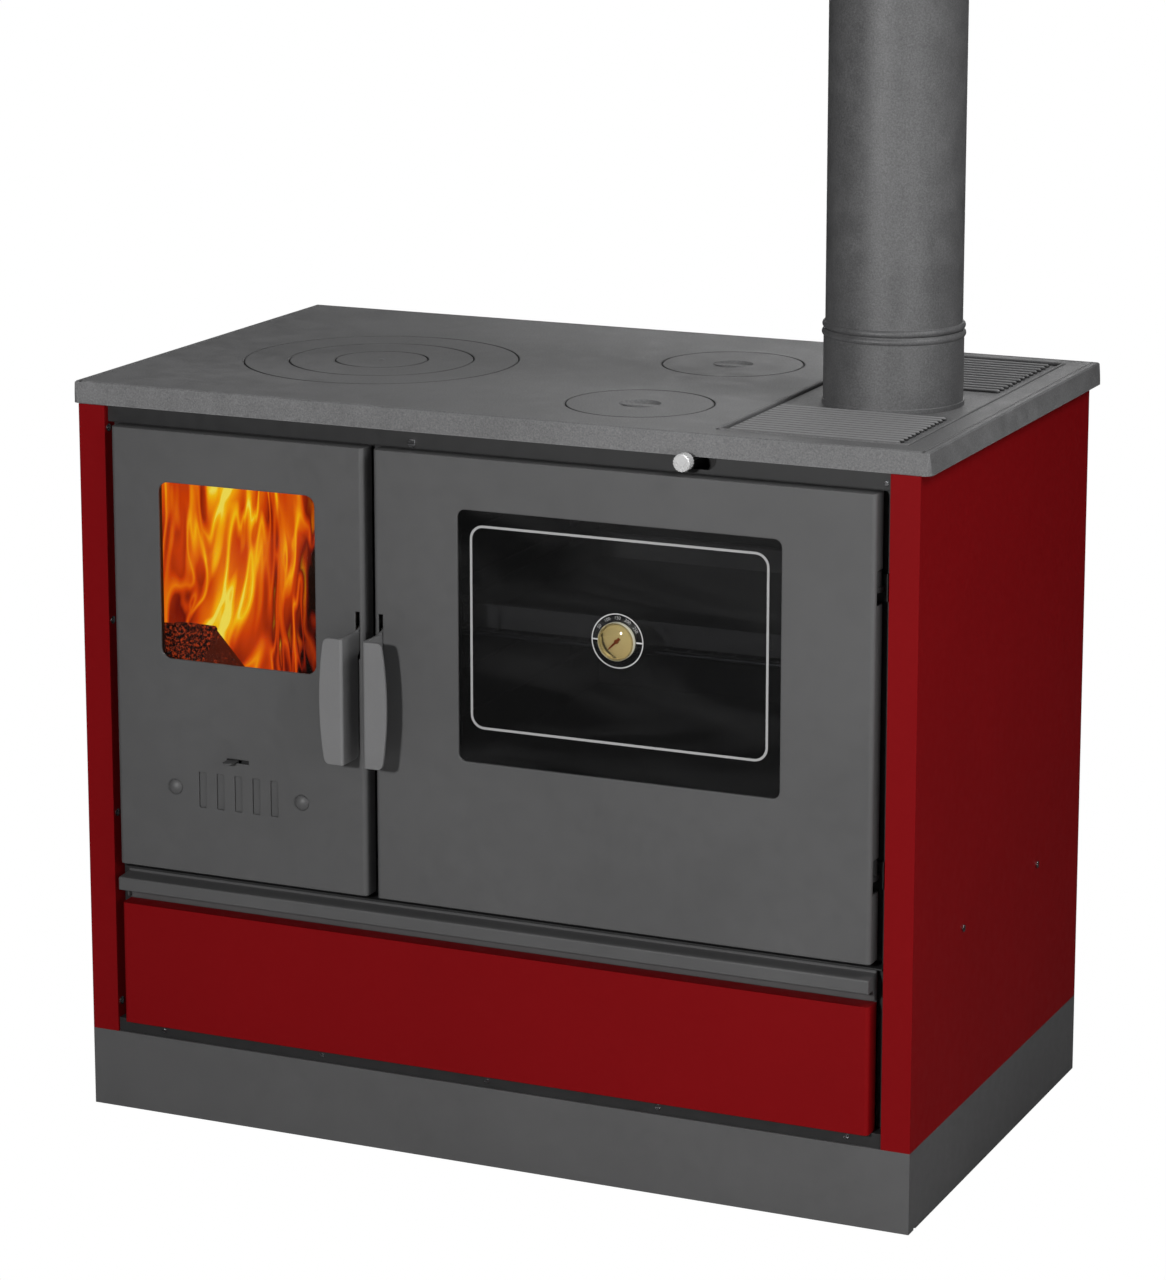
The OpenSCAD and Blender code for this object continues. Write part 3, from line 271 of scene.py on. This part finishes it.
def cast_iron(name, colour, roughness=0.62, pits=0.0004, edge=0.0025, edge_wear_and_highlight=0.55,
              edge_wear_and_highlight_width=0.0012, circles=(), grooves=(), ribs=None):
    """Sand-cast iron under heat-proof paint: grainy skin, soft hollows, paler high spots and edges
    made paler, partly as worn paint and partly as a painted highlight; painted shade along the
    joint circles (x, y, radius) and along grooves (axis, position), and painted shade between ribs
    (foot, flank and crest height) with a painted highlight on their crests, all in millimetres."""
    s = Shader(name)
    sand = s.noise(520.0, 3.0, 0.7)
    lumps = s.noise(38.0, 4.0, 0.6)
    broad = s.noise(3.2, 3.0, 0.5)
    tone = s.math("ADD", s.math("MULTIPLY", sand, 0.55),
        s.math("ADD", s.math("MULTIPLY", lumps, 0.2), s.math("MULTIPLY", broad, 0.25)))
    skin = s.ramp(tone, (0.36, shade(colour, 0.66)), (0.5, colour), (0.66, shade(colour, 1.5)))
    # painted shade: a dark line along each joint round the rings and lids, where its gap lies in
    # shade
    for x, y, radius in circles:
        line = s.circle_line(at(x, y, 0), radius / 1000, 0.0025)
        skin = s.blend(line, skin, shade(colour, 0.12))
    # painted shade: a dark line along the groove inside the hob's lip
    for axis, value in grooves:
        line = s.groove_line(axis, at(value, value, 0)["XY".index(axis)])
        skin = s.blend(line, skin, shade(colour, 0.3))
    # painted shade low between the ribs and a painted highlight on their crests, graded by height
    if ribs:
        height = s.node("ShaderNodeSeparateXYZ", {"Vector": s.place()}).outputs["Z"]
        foot, flank, crest = (level / 1000 for level in ribs)
        between = s.math("MULTIPLY", s.math("GREATER_THAN", height, foot),
            s.spread(height, 1, 0, flank, crest))
        skin = s.blend(between, skin, shade(colour, 0.3))
        skin = s.blend(s.spread(height, 0, 0.9, flank, crest), skin, shade(colour, 1.7))
    # edges made paler, partly as worn paint and partly as a painted highlight
    edge_wear_and_highlight_mix = s.math("MULTIPLY", s.edge_wear_and_highlight_mask(edge_wear_and_highlight_width), edge_wear_and_highlight)
    base = s.blend(edge_wear_and_highlight_mix, skin, shade(colour, 2.6))
    rough = s.spread(lumps, roughness - 0.08, roughness + 0.1, 0.3, 0.7)
    hollows = s.bump(lumps, 0.5, pits * 1.6, s.soft_edge(edge))
    normal = s.bump(sand, 0.9, pits, hollows)
    return s.principled(Base_Color=base, Roughness=rough, Normal=normal, Metallic=0.15)


def bare_steel(name, colour, roughness=0.34, brush=(1, 60, 60), metallic=1.0):
    """Rolled or zinc-plated steel with streaks along its rolling direction."""
    s = Shader(name)
    streak = s.noise(14.0, 5.0, 0.7, brush)
    spangle = s.noise(30.0, 2.0, 0.5)
    base = s.ramp(s.math("ADD", s.math("MULTIPLY", streak, 0.5), s.math("MULTIPLY", spangle, 0.5)),
        (0.35, shade(colour, 0.82)), (0.65, shade(colour, 1.12)))
    rough = s.spread(streak, roughness - 0.08, roughness + 0.12, 0.3, 0.7)
    normal = s.bump(streak, 0.25, 0.00004, s.soft_edge(0.0006))
    return s.principled(Base_Color=base, Roughness=rough, Normal=normal, Metallic=metallic)


def clear_glass(name, tint, gloss_roughness=0.02, see_through=0.9, haze=0.006):
    """Thin pane: a tinted see-through layer with wiping streaks under a fresnel reflection."""
    s = Shader(name)
    fog = s.noise(9.0, 3.0, 0.5)
    streaks = s.noise(3.0, 5.0, 0.6, distortion=0.8,
        vector=s.place((1, 1, 5), (0, math.radians(14), 0)))
    wiped = s.ramp(streaks, (0.45, (haze, haze, haze)), (0.68, (haze * 5, haze * 5, haze * 5)))
    through = s.node("ShaderNodeBsdfTransparent", {"Color": (*shade(tint, see_through), 1)})
    body = s.node("ShaderNodeBsdfDiffuse", {"Color": wiped})
    inner = s.node("ShaderNodeMixShader", {"Fac": 1 - see_through, 1: through.outputs[0],
        2: body.outputs[0]})
    gloss = s.node("ShaderNodeBsdfGlossy", {"Color": (1, 1, 1, 1),
        "Roughness": s.spread(fog, gloss_roughness, gloss_roughness + 0.03)})
    fresnel = s.node("ShaderNodeFresnel", {"IOR": 1.46})
    return s.surface(s.node("ShaderNodeMixShader", {"Fac": fresnel.outputs[0],
        1: inner.outputs[0], 2: gloss.outputs[0]}))


def fire_clay(name):
    """Pressed fireclay: sandy grain, dark sooty stains at random and a warm cast."""
    s = Shader(name)
    grain = s.noise(240.0, 4.0, 0.7)
    stain = s.noise(16.0, 5.0, 0.65)
    base = s.ramp(s.math("ADD", s.math("MULTIPLY", stain, 0.7), s.math("MULTIPLY", grain, 0.3)),
        (0.3, (0.05, 0.04, 0.032)), (0.5, (0.3, 0.22, 0.14)), (0.72, (0.56, 0.43, 0.28)))
    return s.principled(Base_Color=base, Roughness=0.9, Normal=s.bump(grain, 0.8, 0.0006,
        s.soft_edge(0.002)))


def braided_rope(name):
    """Glass-fibre sealing rope with a woven skin."""
    s = Shader(name)
    weave = s.node("ShaderNodeTexWave", {"Vector": s.place((1, 1, 1)), "Scale": 260.0,
        "Distortion": 2.0, "Detail": 2.0}, bands_direction="DIAGONAL").outputs["Fac"]
    cross = s.node("ShaderNodeTexWave", {"Vector": s.place((-1, 1, 1)), "Scale": 260.0,
        "Distortion": 2.0, "Detail": 2.0}, bands_direction="DIAGONAL").outputs["Fac"]
    plait = s.math("MAXIMUM", weave, cross)
    base = s.ramp(plait, (0.1, (0.02, 0.019, 0.017)), (0.9, (0.13, 0.12, 0.105)))
    return s.principled(Base_Color=base, Roughness=0.95, Normal=s.bump(plait, 0.9, 0.0008),
        Sheen_Weight=0.3)


def flame_material(name, strength, seed, calm=0.0):
    """Flames: tall tongues with thin bright edges that rise, bend and leave dark gaps."""
    s = Shader(name)
    coords = s.node("ShaderNodeTexCoord").outputs["Object"]
    moved = s.node("ShaderNodeMapping", {"Vector": coords,
        "Location": (seed, seed * 0.7, seed * 0.3), "Scale": (1, 0.3, 0.3)}).outputs["Vector"]

    def warped(vector, scale, detail, amount):
        swirl = s.node("ShaderNodeTexNoise", {"Vector": vector, "Scale": scale, "Detail": detail})
        offset = s.node("ShaderNodeVectorMath", {0: swirl.outputs["Color"], 1: (0.5, 0.5, 0.5)},
            operation="SUBTRACT").outputs["Vector"]
        offset = s.node("ShaderNodeVectorMath", {0: offset, "Scale": amount}, operation="SCALE")
        return s.node("ShaderNodeVectorMath", {0: vector, 1: offset.outputs["Vector"]},
            operation="ADD").outputs["Vector"]

    def crest(vector, scale, sharpness, weight):
        waves = s.noise(scale, 1.0, 0.4, vector=vector)
        away = s.math("ABSOLUTE", s.math("MULTIPLY", s.math("SUBTRACT", waves, 0.5), sharpness))
        return s.math("MULTIPLY", s.math("MAXIMUM", s.math("SUBTRACT", 1.0, away), 0.0), weight)

    bent = warped(moved, 9.0, 1.0, 0.09)
    curled = warped(bent, 22.0, 1.5, 0.04)
    body = s.noise(13.0, 1.0, vector=bent)
    heat = s.math("ADD", s.math("MULTIPLY", s.spread(body, 0.05, 1.0, 0.36, 0.66), 0.52),
        s.math("ADD", crest(curled, 52.0, 8.0, 0.34), crest(curled, 22.0, 4.5, 0.36)))
    # hotter round a column left of the middle, dying off at the right edge
    across = s.node("ShaderNodeSeparateXYZ", {"Vector": bent}).outputs["X"]
    across = s.math("SUBTRACT", across, seed)
    column = s.spread(s.math("ABSOLUTE", s.math("SUBTRACT", across, -0.345)), 0.24, 0.0, 0.0, 0.06)
    edge = s.spread(across, 0.0, -0.6, -0.245, -0.21)
    heat = s.math("SUBTRACT", s.math("ADD", heat, s.math("ADD", column, edge)), calm)
    colour = s.ramp(heat, (0.1, (0.012, 0.002, 0.001)), (0.26, (0.2, 0.008, 0.001)),
        (0.46, (0.66, 0.055, 0.001)), (0.63, (0.86, 0.17, 0.002)), (0.78, (1.0, 0.4, 0.003)),
        (0.9, (1.0, 0.62, 0.008)), (1.0, (1.0, 0.86, 0.11)))
    glow = s.node("ShaderNodeEmission", {"Color": colour, "Strength": strength})
    clear = s.node("ShaderNodeBsdfTransparent")
    mask = s.spread(heat, 0.0, 1.0, 0.12, 0.26)
    return s.surface(s.node("ShaderNodeMixShader", {"Fac": mask, 1: clear.outputs[0],
        2: glow.outputs[0]}))


def ember_material(name):
    """Charred wood: glowing crackle on the burnt face, dull red split faces elsewhere."""
    s = Shader(name)
    coords = s.place()
    facing = s.node("ShaderNodeSeparateXYZ", {"Vector":
        s.node("ShaderNodeNewGeometry").outputs["True Normal"]}).outputs["Y"]
    burnt = s.spread(facing, 1.0, 0.0, -0.9, -0.75)
    crackle = s.noise(300.0, 4.0, 0.75, (0.6, 1, 1.3), 0.5, coords)
    bark = s.noise(70.0, 5.0, 0.7, (0.5, 1.4, 1.4))
    char = s.ramp(crackle, (0.43, (0.006, 0.003, 0.003)), (0.5, (0.1, 0.013, 0.006)),
        (0.6, (0.33, 0.04, 0.012)))
    split = s.ramp(bark, (0.35, (0.035, 0.008, 0.006)), (0.65, (0.11, 0.022, 0.014)))
    base = s.blend(burnt, split, char)
    hot = s.math("MULTIPLY", s.spread(crackle, 0.0, 1.0, 0.5, 0.62), burnt)
    glow = s.math("ADD", s.math("MULTIPLY", hot, 0.6), s.spread(burnt, 0.09, 0.0))
    return s.principled(Base_Color=base, Roughness=0.85, Normal=s.bump(crackle, 0.8, 0.002),
        Emission_Color=(0.9, 0.09, 0.012, 1), Emission_Strength=glow)


# ---------- mesh helpers ----------


def finish_mesh(name, bm, body, material, smooth=False, closed=True):
    """Turns a bmesh into a piece that rides on a body and wears one material.

    An open sheet keeps the side that it was built to face.
    """
    if closed:
        bmesh.ops.recalc_face_normals(bm, faces=bm.faces)
    mesh = bpy.data.meshes.new(name)
    bm.to_mesh(mesh)
    bm.free()
    for face in mesh.polygons:
        face.use_smooth = smooth
    piece = bpy.data.objects.new(name, mesh)
    bpy.context.scene.collection.objects.link(piece)
    mesh.materials.append(material)
    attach(piece, body)
    return piece


def rounded_outline(x0, x1, z0, z1, radius, steps=8):
    """Corner points of an upright round-cornered rectangle, as (x, z) in millimetres."""
    points = []
    corners = (((x1 - radius), (z1 - radius), 0), ((x0 + radius), (z1 - radius), 90),
               ((x0 + radius), (z0 + radius), 180), ((x1 - radius), (z0 + radius), 270))
    for cx, cz, start in corners:
        for i in range(steps + 1):
            turn = math.radians(start + 90 * i / steps)
            points.append((cx + radius * math.cos(turn), cz + radius * math.sin(turn)))
    return points


def closed_loop(bm, points):
    """Edges of a closed loop through points of the frame."""
    verts = [bm.verts.new(point) for point in points]
    return [bm.edges.new(pair) for pair in zip(verts, verts[1:] + verts[:1])]


def flat_band(bm, outer, inner):
    """Ink on the oven glass between two outlines of (x, z) points."""
    edges = []
    for outline in (outer, inner):
        edges += closed_loop(bm, [at(x, GLASS_FRONT, z) for x, z in outline])
    band = bmesh.ops.bridge_loops(bm, edges=edges)["faces"]
    raised = bmesh.ops.extrude_face_region(bm, geom=band)["geom"]
    bmesh.ops.translate(bm, vec=(0, -INK_THICKNESS / 1000, 0),
        verts=[part for part in raised if isinstance(part, bmesh.types.BMVert)])


# ---------- operators ----------


class COOKER_OT_finishes(bpy.types.Operator):
    """Give every CAD node its procedural finish"""

    bl_idname = "cooker.finishes"
    bl_label = "Finishes"

    def execute(self, context):
        s = settings()
        red = lacquer("red_enamel", s.red, 0.5, mottle=0.04, gloss=0.05)
        door = lacquer("door_lacquer", s.door_grey, 0.48, edge=0.0022)
        # the handles take the door's grey made twice as light, a painted highlight for the light
        # their faces catch
        handle = lacquer("handle_lacquer", shade(s.door_grey, 2.0), 0.5, edge=0.0015)
        dark = lacquer("frame_lacquer", s.frame_grey, 0.5)
        plinth = lacquer("plinth_lacquer", shade(s.door_grey, 1.085), 0.5)
        # the iron's edges are made paler as worn paint and painted highlight; the joints, the
        # lip's groove and the gaps between ribs get painted shade, and the rib crests a painted
        # highlight
        hob = cast_iron("hob_iron", s.cast_grey, edge=0.0016, edge_wear_and_highlight=0.8, edge_wear_and_highlight_width=0.0018,
            circles=JOINT_SHADE_CIRCLES, grooves=LIP_GROOVE_SHADE_LINES)
        ring = cast_iron("ring_iron", shade(s.cast_grey, 0.96), edge=0.0006, edge_wear_and_highlight=0.8,
            edge_wear_and_highlight_width=0.0016, circles=JOINT_SHADE_CIRCLES)
        ribbed = cast_iron("flue_iron", shade(s.cast_grey, 1.06), edge=0.0004, edge_wear_and_highlight=0.9,
            ribs=RIB_SHADE_AND_HIGHLIGHT_LEVELS)
        grate = cast_iron("grate_iron", (0.022, 0.021, 0.021), 0.75)
        pipe = cast_iron("pipe_paint", s.pipe_grey, 0.5, pits=0.00022, edge=0.0012)
        zinc = bare_steel("zinc_sheet", (0.42, 0.43, 0.45))
        wire = bare_steel("plated_wire", (0.62, 0.62, 0.64), 0.2)
        enamel = lacquer("oven_enamel", (0.006, 0.006, 0.008), 0.4, coat=0.1, mottle=0.3)
        chrome = bare_steel("knob_plating", (0.9, 0.9, 0.9), 0.3, (1, 1, 1), metallic=0.45)
        brass = bare_steel("dial_brass", (1.0, 0.94, 0.72), 0.2, (1, 1, 1), metallic=0.3)
        clay = fire_clay("fire_clay")
        rope = braided_rope("seal_rope")
        pane = clear_glass("door_glass", (0.93, 0.9, 0.86))
        dark_pane = clear_glass("oven_glass", (0.95, 0.95, 0.96), see_through=0.85, haze=0.012)
        inner_pane = clear_glass("oven_inner_pane", (0.9, 0.91, 0.92))
        tray = lacquer("tray_steel", (0.25, 0.24, 0.23), 0.5)
        lens = clear_glass("dial_lens", (0.95, 0.9, 0.78), see_through=0.96)
        needle = lacquer("needle_paint", (0.24, 0.05, 0.02), 0.4)
        wearing = {
            red: "side_panel_left side_panel_right drawer_front",
            door: "fire_door_skin oven_door_skin air_rivets air_shutter drawer_pull_rail",
            handle: "fire_handle oven_handle",
            dark: "fascia frame_stiles frame_rails sill_strip hinge_lugs fire_door_frame "
                  "oven_door_frame air_guide",
            plinth: "plinth_front plinth_sides plinth_back",
            hob: "hob_plate",
            ring: "hob_ring_outer hob_ring_middle hob_disc front_lid rear_lid",
            ribbed: "flue_plate",
            grate: "fire_grate log_bar firebox_shell smoke_deck",
            pipe: "flue_collar flue_pipe",
            zinc: "levelling_feet base_pan back_panel ash_pan drawer_rails latch_keepers "
                  "fire_glass_clips drawer_box damper_slide",
            wire: "oven_runners oven_rack case_screws",
            enamel: "oven_liner",
            tray: "baking_tray",
            chrome: "damper_knob",
            brass: "thermometer_case",
            clay: "firebrick_sides firebrick_back",
            rope: "fire_door_seal oven_door_seal",
            pane: "fire_door_glass",
            inner_pane: "oven_inner_glass",
            dark_pane: "oven_door_glass",
            lens: "thermometer_lens",
            needle: "thermometer_needle",
        }
        dressed = set()
        for material, names in wearing.items():
            for name in names.split():
                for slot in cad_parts[name].material_slots:
                    slot.material = material
                dressed.add(name)
        missed = set(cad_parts) - dressed
        if missed:
            raise RuntimeError("no finish for " + ", ".join(sorted(missed)))
        return {"FINISHED"}


class COOKER_OT_flue_bead(bpy.types.Operator):
    """Run the raised bead round the flue plate, over its bedding gap"""

    bl_idname = "cooker.flue_bead"
    bl_label = "Flue plate bead"

    def execute(self, context):
        # its edges are made paler as worn paint and painted highlight
        material = cast_iron("bead_iron", settings().cast_grey, edge=0.0006, edge_wear_and_highlight=0.9,
            edge_wear_and_highlight_width=0.0009)
        x0, x1, y0, y1 = BEAD_OUTLINE
        bm = bmesh.new()
        loops = []
        for inward, z in BEAD_SECTION:
            outline = rounded_outline(x0 + inward, x1 - inward, y0 + inward, y1 - inward,
                BEAD_CORNER - inward)
            loops.append(closed_loop(bm, [at(x, y, z) for x, y in outline]))
        for low, high in zip(loops, loops[1:] + loops[:1]):
            bmesh.ops.bridge_loops(bm, edges=low + high)
        finish_mesh("flue_plate_bead", bm, "cabinet", material, smooth=True)
        return {"FINISHED"}


class COOKER_OT_glass_print(bpy.types.Operator):
    """Print the pale line round the oven glass"""

    bl_idname = "cooker.glass_print"
    bl_label = "Glass print"

    def execute(self, context):
        ink = lacquer("glass_ink", (0.36, 0.36, 0.36), 0.6, grain=0.0008, relief=0.00001)
        width = settings().print_width * 1000
        bm = bmesh.new()
        x0, x1, z0, z1 = LINE_OUTLINE
        flat_band(bm, rounded_outline(x0, x1, z0, z1, LINE_CORNER),
            rounded_outline(x0 + width, x1 - width, z0 + width, z1 - width, LINE_CORNER - width))
        finish_mesh("oven_glass_line", bm, "oven_door", ink)
        return {"FINISHED"}


class COOKER_OT_dial(bpy.types.Operator):
    """Print the ring, the two ticks and the numbers round the thermometer"""

    bl_idname = "cooker.dial"
    bl_label = "Thermometer dial"

    def execute(self, context):
        ink = lacquer("dial_ink", (0.5, 0.5, 0.5), 0.6, grain=0.0008, relief=0.00001)
        cx, cz = DIAL_CENTRE
        inner, outer = DIAL_RING
        front = GLASS_FRONT - INK_THICKNESS
        bm = bmesh.new()

        def circle(radius):
            turns = [math.radians(5 * i) for i in range(72)]
            return [(cx + radius * math.cos(turn), cz + radius * math.sin(turn)) for turn in turns]

        flat_band(bm, circle(outer), circle(inner))
        for side in (-1, 1):
            low, high = sorted((cx + side * DIAL_TICK_START, cx + side * inner))
            top, bottom = cz + DIAL_TICK_HALF_WIDTH, cz - DIAL_TICK_HALF_WIDTH
            tick = ((high, bottom), (high, top), (low, top), (low, bottom))
            bm.faces.new([bm.verts.new(at(x, front, z)) for x, z in tick])
        finish_mesh("dial_ring", bm, "oven_door", ink)
        steps = settings().dial_steps
        upright = Matrix.Rotation(math.radians(90), 4, "X")
        for i in range(steps):
            angle = math.radians(DIAL_FIRST_ANGLE - DIAL_SWEEP * i / (steps - 1))
            name = "dial_number_%d" % (i + 1)
            curve = bpy.data.curves.new("dial_number", "FONT")
            curve.body = str(DIAL_STEP * (i + 1))
            curve.size = DIAL_TEXT_SIZE / 1000
            curve.offset = -DIAL_TEXT_THINNING / 1000
            curve.align_x, curve.align_y = "CENTER", "CENTER"
            number = bpy.data.objects.new(name, curve)
            context.scene.collection.objects.link(number)
            mesh = bpy.data.meshes.new_from_object(number)
            bpy.data.objects.remove(number)
            spot = at(cx + DIAL_NUMBERS_RADIUS * math.cos(angle), front,
                cz + DIAL_NUMBERS_RADIUS * math.sin(angle))
            turned = upright @ Matrix.Rotation(angle - math.pi / 2, 4, "Z")
            mesh.transform(Matrix.Translation(spot) @ turned)
            piece = bpy.data.objects.new(name, mesh)
            context.scene.collection.objects.link(piece)
            mesh.materials.clear()
            mesh.materials.append(ink)
            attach(piece, "oven_door")
        return {"FINISHED"}


class COOKER_OT_fire(bpy.types.Operator):
    """Lay a charred log on the grate and raise the flames behind the window"""

    bl_idname = "cooker.fire"
    bl_label = "Fire"

    def log(self, name, chunks, material):
        """A split log: hulls of a few corner points each, with a roughened skin."""
        bm = bmesh.new()
        for chunk in chunks:
            bmesh.ops.convex_hull(bm, input=[bm.verts.new(at(*point)) for point in chunk])
        bmesh.ops.subdivide_edges(bm, edges=bm.edges, cuts=18, use_grid_fill=True)
        shifts = (Vector((0, 0, 0)), Vector((9, 0, 0)), Vector((0, 9, 0)))
        for vert in bm.verts:
            bark = [noise.fractal(vert.co * 60 + shift, 0.9, 2.1, 4) for shift in shifts]
            vert.co += Vector(bark) * BARK_RELIEF / 1000
        return finish_mesh(name, bm, "cabinet", material)

    def sheet(self, name, foot, top, depth, sway, material):
        """An upright, gently waving sheet of flames whose foot follows (x, z) points."""
        left, right = foot[0][0], foot[-1][0]

        def foot_z(x):
            for (xa, za), (xb, zb) in zip(foot, foot[1:]):
                if x <= xb:
                    return za + (zb - za) * (x - xa) / (xb - xa)
            return foot[-1][1]

        bm = bmesh.new()
        bmesh.ops.create_grid(bm, x_segments=60, y_segments=60, size=0.5)
        for vert in bm.verts:
            x = left + (right - left) * (vert.co.x + 0.5)
            z = foot_z(x) + (top - foot_z(x)) * (vert.co.y + 0.5)
            wave = noise.noise(Vector((x * 0.02, z * 0.012, depth))) * sway
            vert.co = at(x, depth + wave, z)
        return finish_mesh(name, bm, "cabinet", material, smooth=True,
            closed=False)

    def execute(self, context):
        strength = settings().flame_glow
        self.sheet("flame_far", FAR_FOOT, top=790, depth=120, sway=14,
            material=flame_material("flame_far", strength * 0.6, seed=8.2, calm=0.3))
        self.sheet("flame_near", NEAR_FOOT, top=786, depth=33, sway=1.5,
            material=flame_material("flame_near", strength, seed=3.7))
        self.log("log_near", (LOG_BUTT, LOG_TRUNK), ember_material("ember_wood"))
        return {"FINISHED"}


class COOKER_OT_stage(bpy.types.Operator):
    """Set up the floor, the soft studio light and the camera"""

    bl_idname = "cooker.stage"
    bl_label = "Stage"

    def floor(self, context):
        """A floor under the feet: white to the camera, dark where glossy faces mirror it."""
        bm = bmesh.new()
        bmesh.ops.create_grid(bm, x_segments=4, y_segments=4, size=60)
        mesh = bpy.data.meshes.new("floor")
        bm.to_mesh(mesh)
        bm.free()
        plane = bpy.data.objects.new("floor", mesh)
        plane.location.z = -0.0005
        context.scene.collection.objects.link(plane)
        s = Shader("floor_white")
        path = s.node("ShaderNodeLightPath")
        pale = s.ramp(s.noise(2.0, 2.0), (0.3, (0.72, 0.72, 0.72)), (0.7, (0.76, 0.76, 0.76)))
        matt = s.node("ShaderNodeBsdfDiffuse", {"Color": pale})
        mirrored = s.node("ShaderNodeBsdfDiffuse", {"Color": (0.05, 0.05, 0.05, 1)})
        lit = s.node("ShaderNodeMixShader", {"Fac": path.outputs["Is Glossy Ray"],
            1: matt.outputs[0], 2: mirrored.outputs[0]})
        white = s.node("ShaderNodeEmission", {"Color": (1, 1, 1, 1), "Strength": 1.0})
        s.surface(s.node("ShaderNodeMixShader", {"Fac": path.outputs["Is Camera Ray"],
            1: lit.outputs[0], 2: white.outputs[0]}))
        mesh.materials.append(s.material)

    def world(self, context):
        """White behind the cooker, and a faint cool fill on it."""
        world = bpy.data.worlds.new("studio")
        world.use_nodes = True
        tree = world.node_tree
        tree.nodes.clear()
        out = tree.nodes.new("ShaderNodeOutputWorld")
        path = tree.nodes.new("ShaderNodeLightPath")
        seen = tree.nodes.new("ShaderNodeBackground")
        seen.inputs["Color"].default_value = (1, 1, 1, 1)
        fill = tree.nodes.new("ShaderNodeBackground")
        fill.inputs["Color"].default_value = (0.9, 0.93, 1.0, 1)
        fill.inputs["Strength"].default_value = 0.008
        mix = tree.nodes.new("ShaderNodeMixShader")
        tree.links.new(path.outputs["Is Camera Ray"], mix.inputs["Fac"])
        tree.links.new(fill.outputs[0], mix.inputs[1])
        tree.links.new(seen.outputs[0], mix.inputs[2])
        tree.links.new(mix.outputs[0], out.inputs["Surface"])
        context.scene.world = world

    def softbox(self, context, name, place, width, height, watts):
        light = bpy.data.lights.new(name, "AREA")
        light.shape = "RECTANGLE"
        light.size, light.size_y = width, height
        light.energy = watts
        lamp = bpy.data.objects.new(name, light)
        lamp.location = place
        lamp.rotation_euler = (LAMPS_AIM - Vector(place)).to_track_quat("-Z", "Y").to_euler()
        context.scene.collection.objects.link(lamp)

    def camera(self, context):
        lens = bpy.data.cameras.new("camera")
        lens.sensor_fit = "AUTO"
        lens.sensor_width = SENSOR
        lens.lens = FOCAL_LENGTH * SENSOR / VIEW_HEIGHT
        lens.shift_y = VIEW_SHIFT / VIEW_HEIGHT
        view = bpy.data.objects.new("camera", lens)
        view.location = at(*CAMERA_PLACE)
        view.rotation_euler = (math.radians(90 - CAMERA_TILT), 0, math.radians(CAMERA_TURN))
        context.scene.collection.objects.link(view)
        context.scene.camera = view

    def execute(self, context):
        context.scene.view_settings.view_transform = "Standard"
        self.floor(context)
        self.world(context)
        self.camera(context)
        for name, (place, width, height, watts) in LAMPS.items():
            self.softbox(context, name, place, width, height, watts)
        return {"FINISHED"}


class COOKER_PT_panel(bpy.types.Panel):
    """Sidebar panel with the cooker's settings and steps"""

    bl_label = "Range cooker"
    bl_idname = "COOKER_PT_panel"
    bl_space_type = "VIEW_3D"
    bl_region_type = "UI"
    bl_category = "Cooker"

    def draw(self, context):
        column = self.layout.column()
        for name in CookerSettings.__annotations__:
            column.prop(context.scene.cooker, name)
        for step in STEPS:
            column.operator(step.bl_idname)


STEPS = (COOKER_OT_finishes, COOKER_OT_flue_bead, COOKER_OT_glass_print, COOKER_OT_dial,
         COOKER_OT_fire, COOKER_OT_stage)
CLASSES = (CookerSettings, *STEPS, COOKER_PT_panel)


def register():
    for item in CLASSES:
        bpy.utils.register_class(item)
    bpy.types.Scene.cooker = PointerProperty(type=CookerSettings)


def unregister():
    del bpy.types.Scene.cooker
    for item in reversed(CLASSES):
        bpy.utils.unregister_class(item)


def main():
    register()
    bpy.ops.cooker.finishes()
    bpy.ops.cooker.flue_bead()
    bpy.ops.cooker.glass_print()
    bpy.ops.cooker.dial()
    bpy.ops.cooker.fire()
    bpy.ops.cooker.stage()


if __name__ == "__main__":
    main()
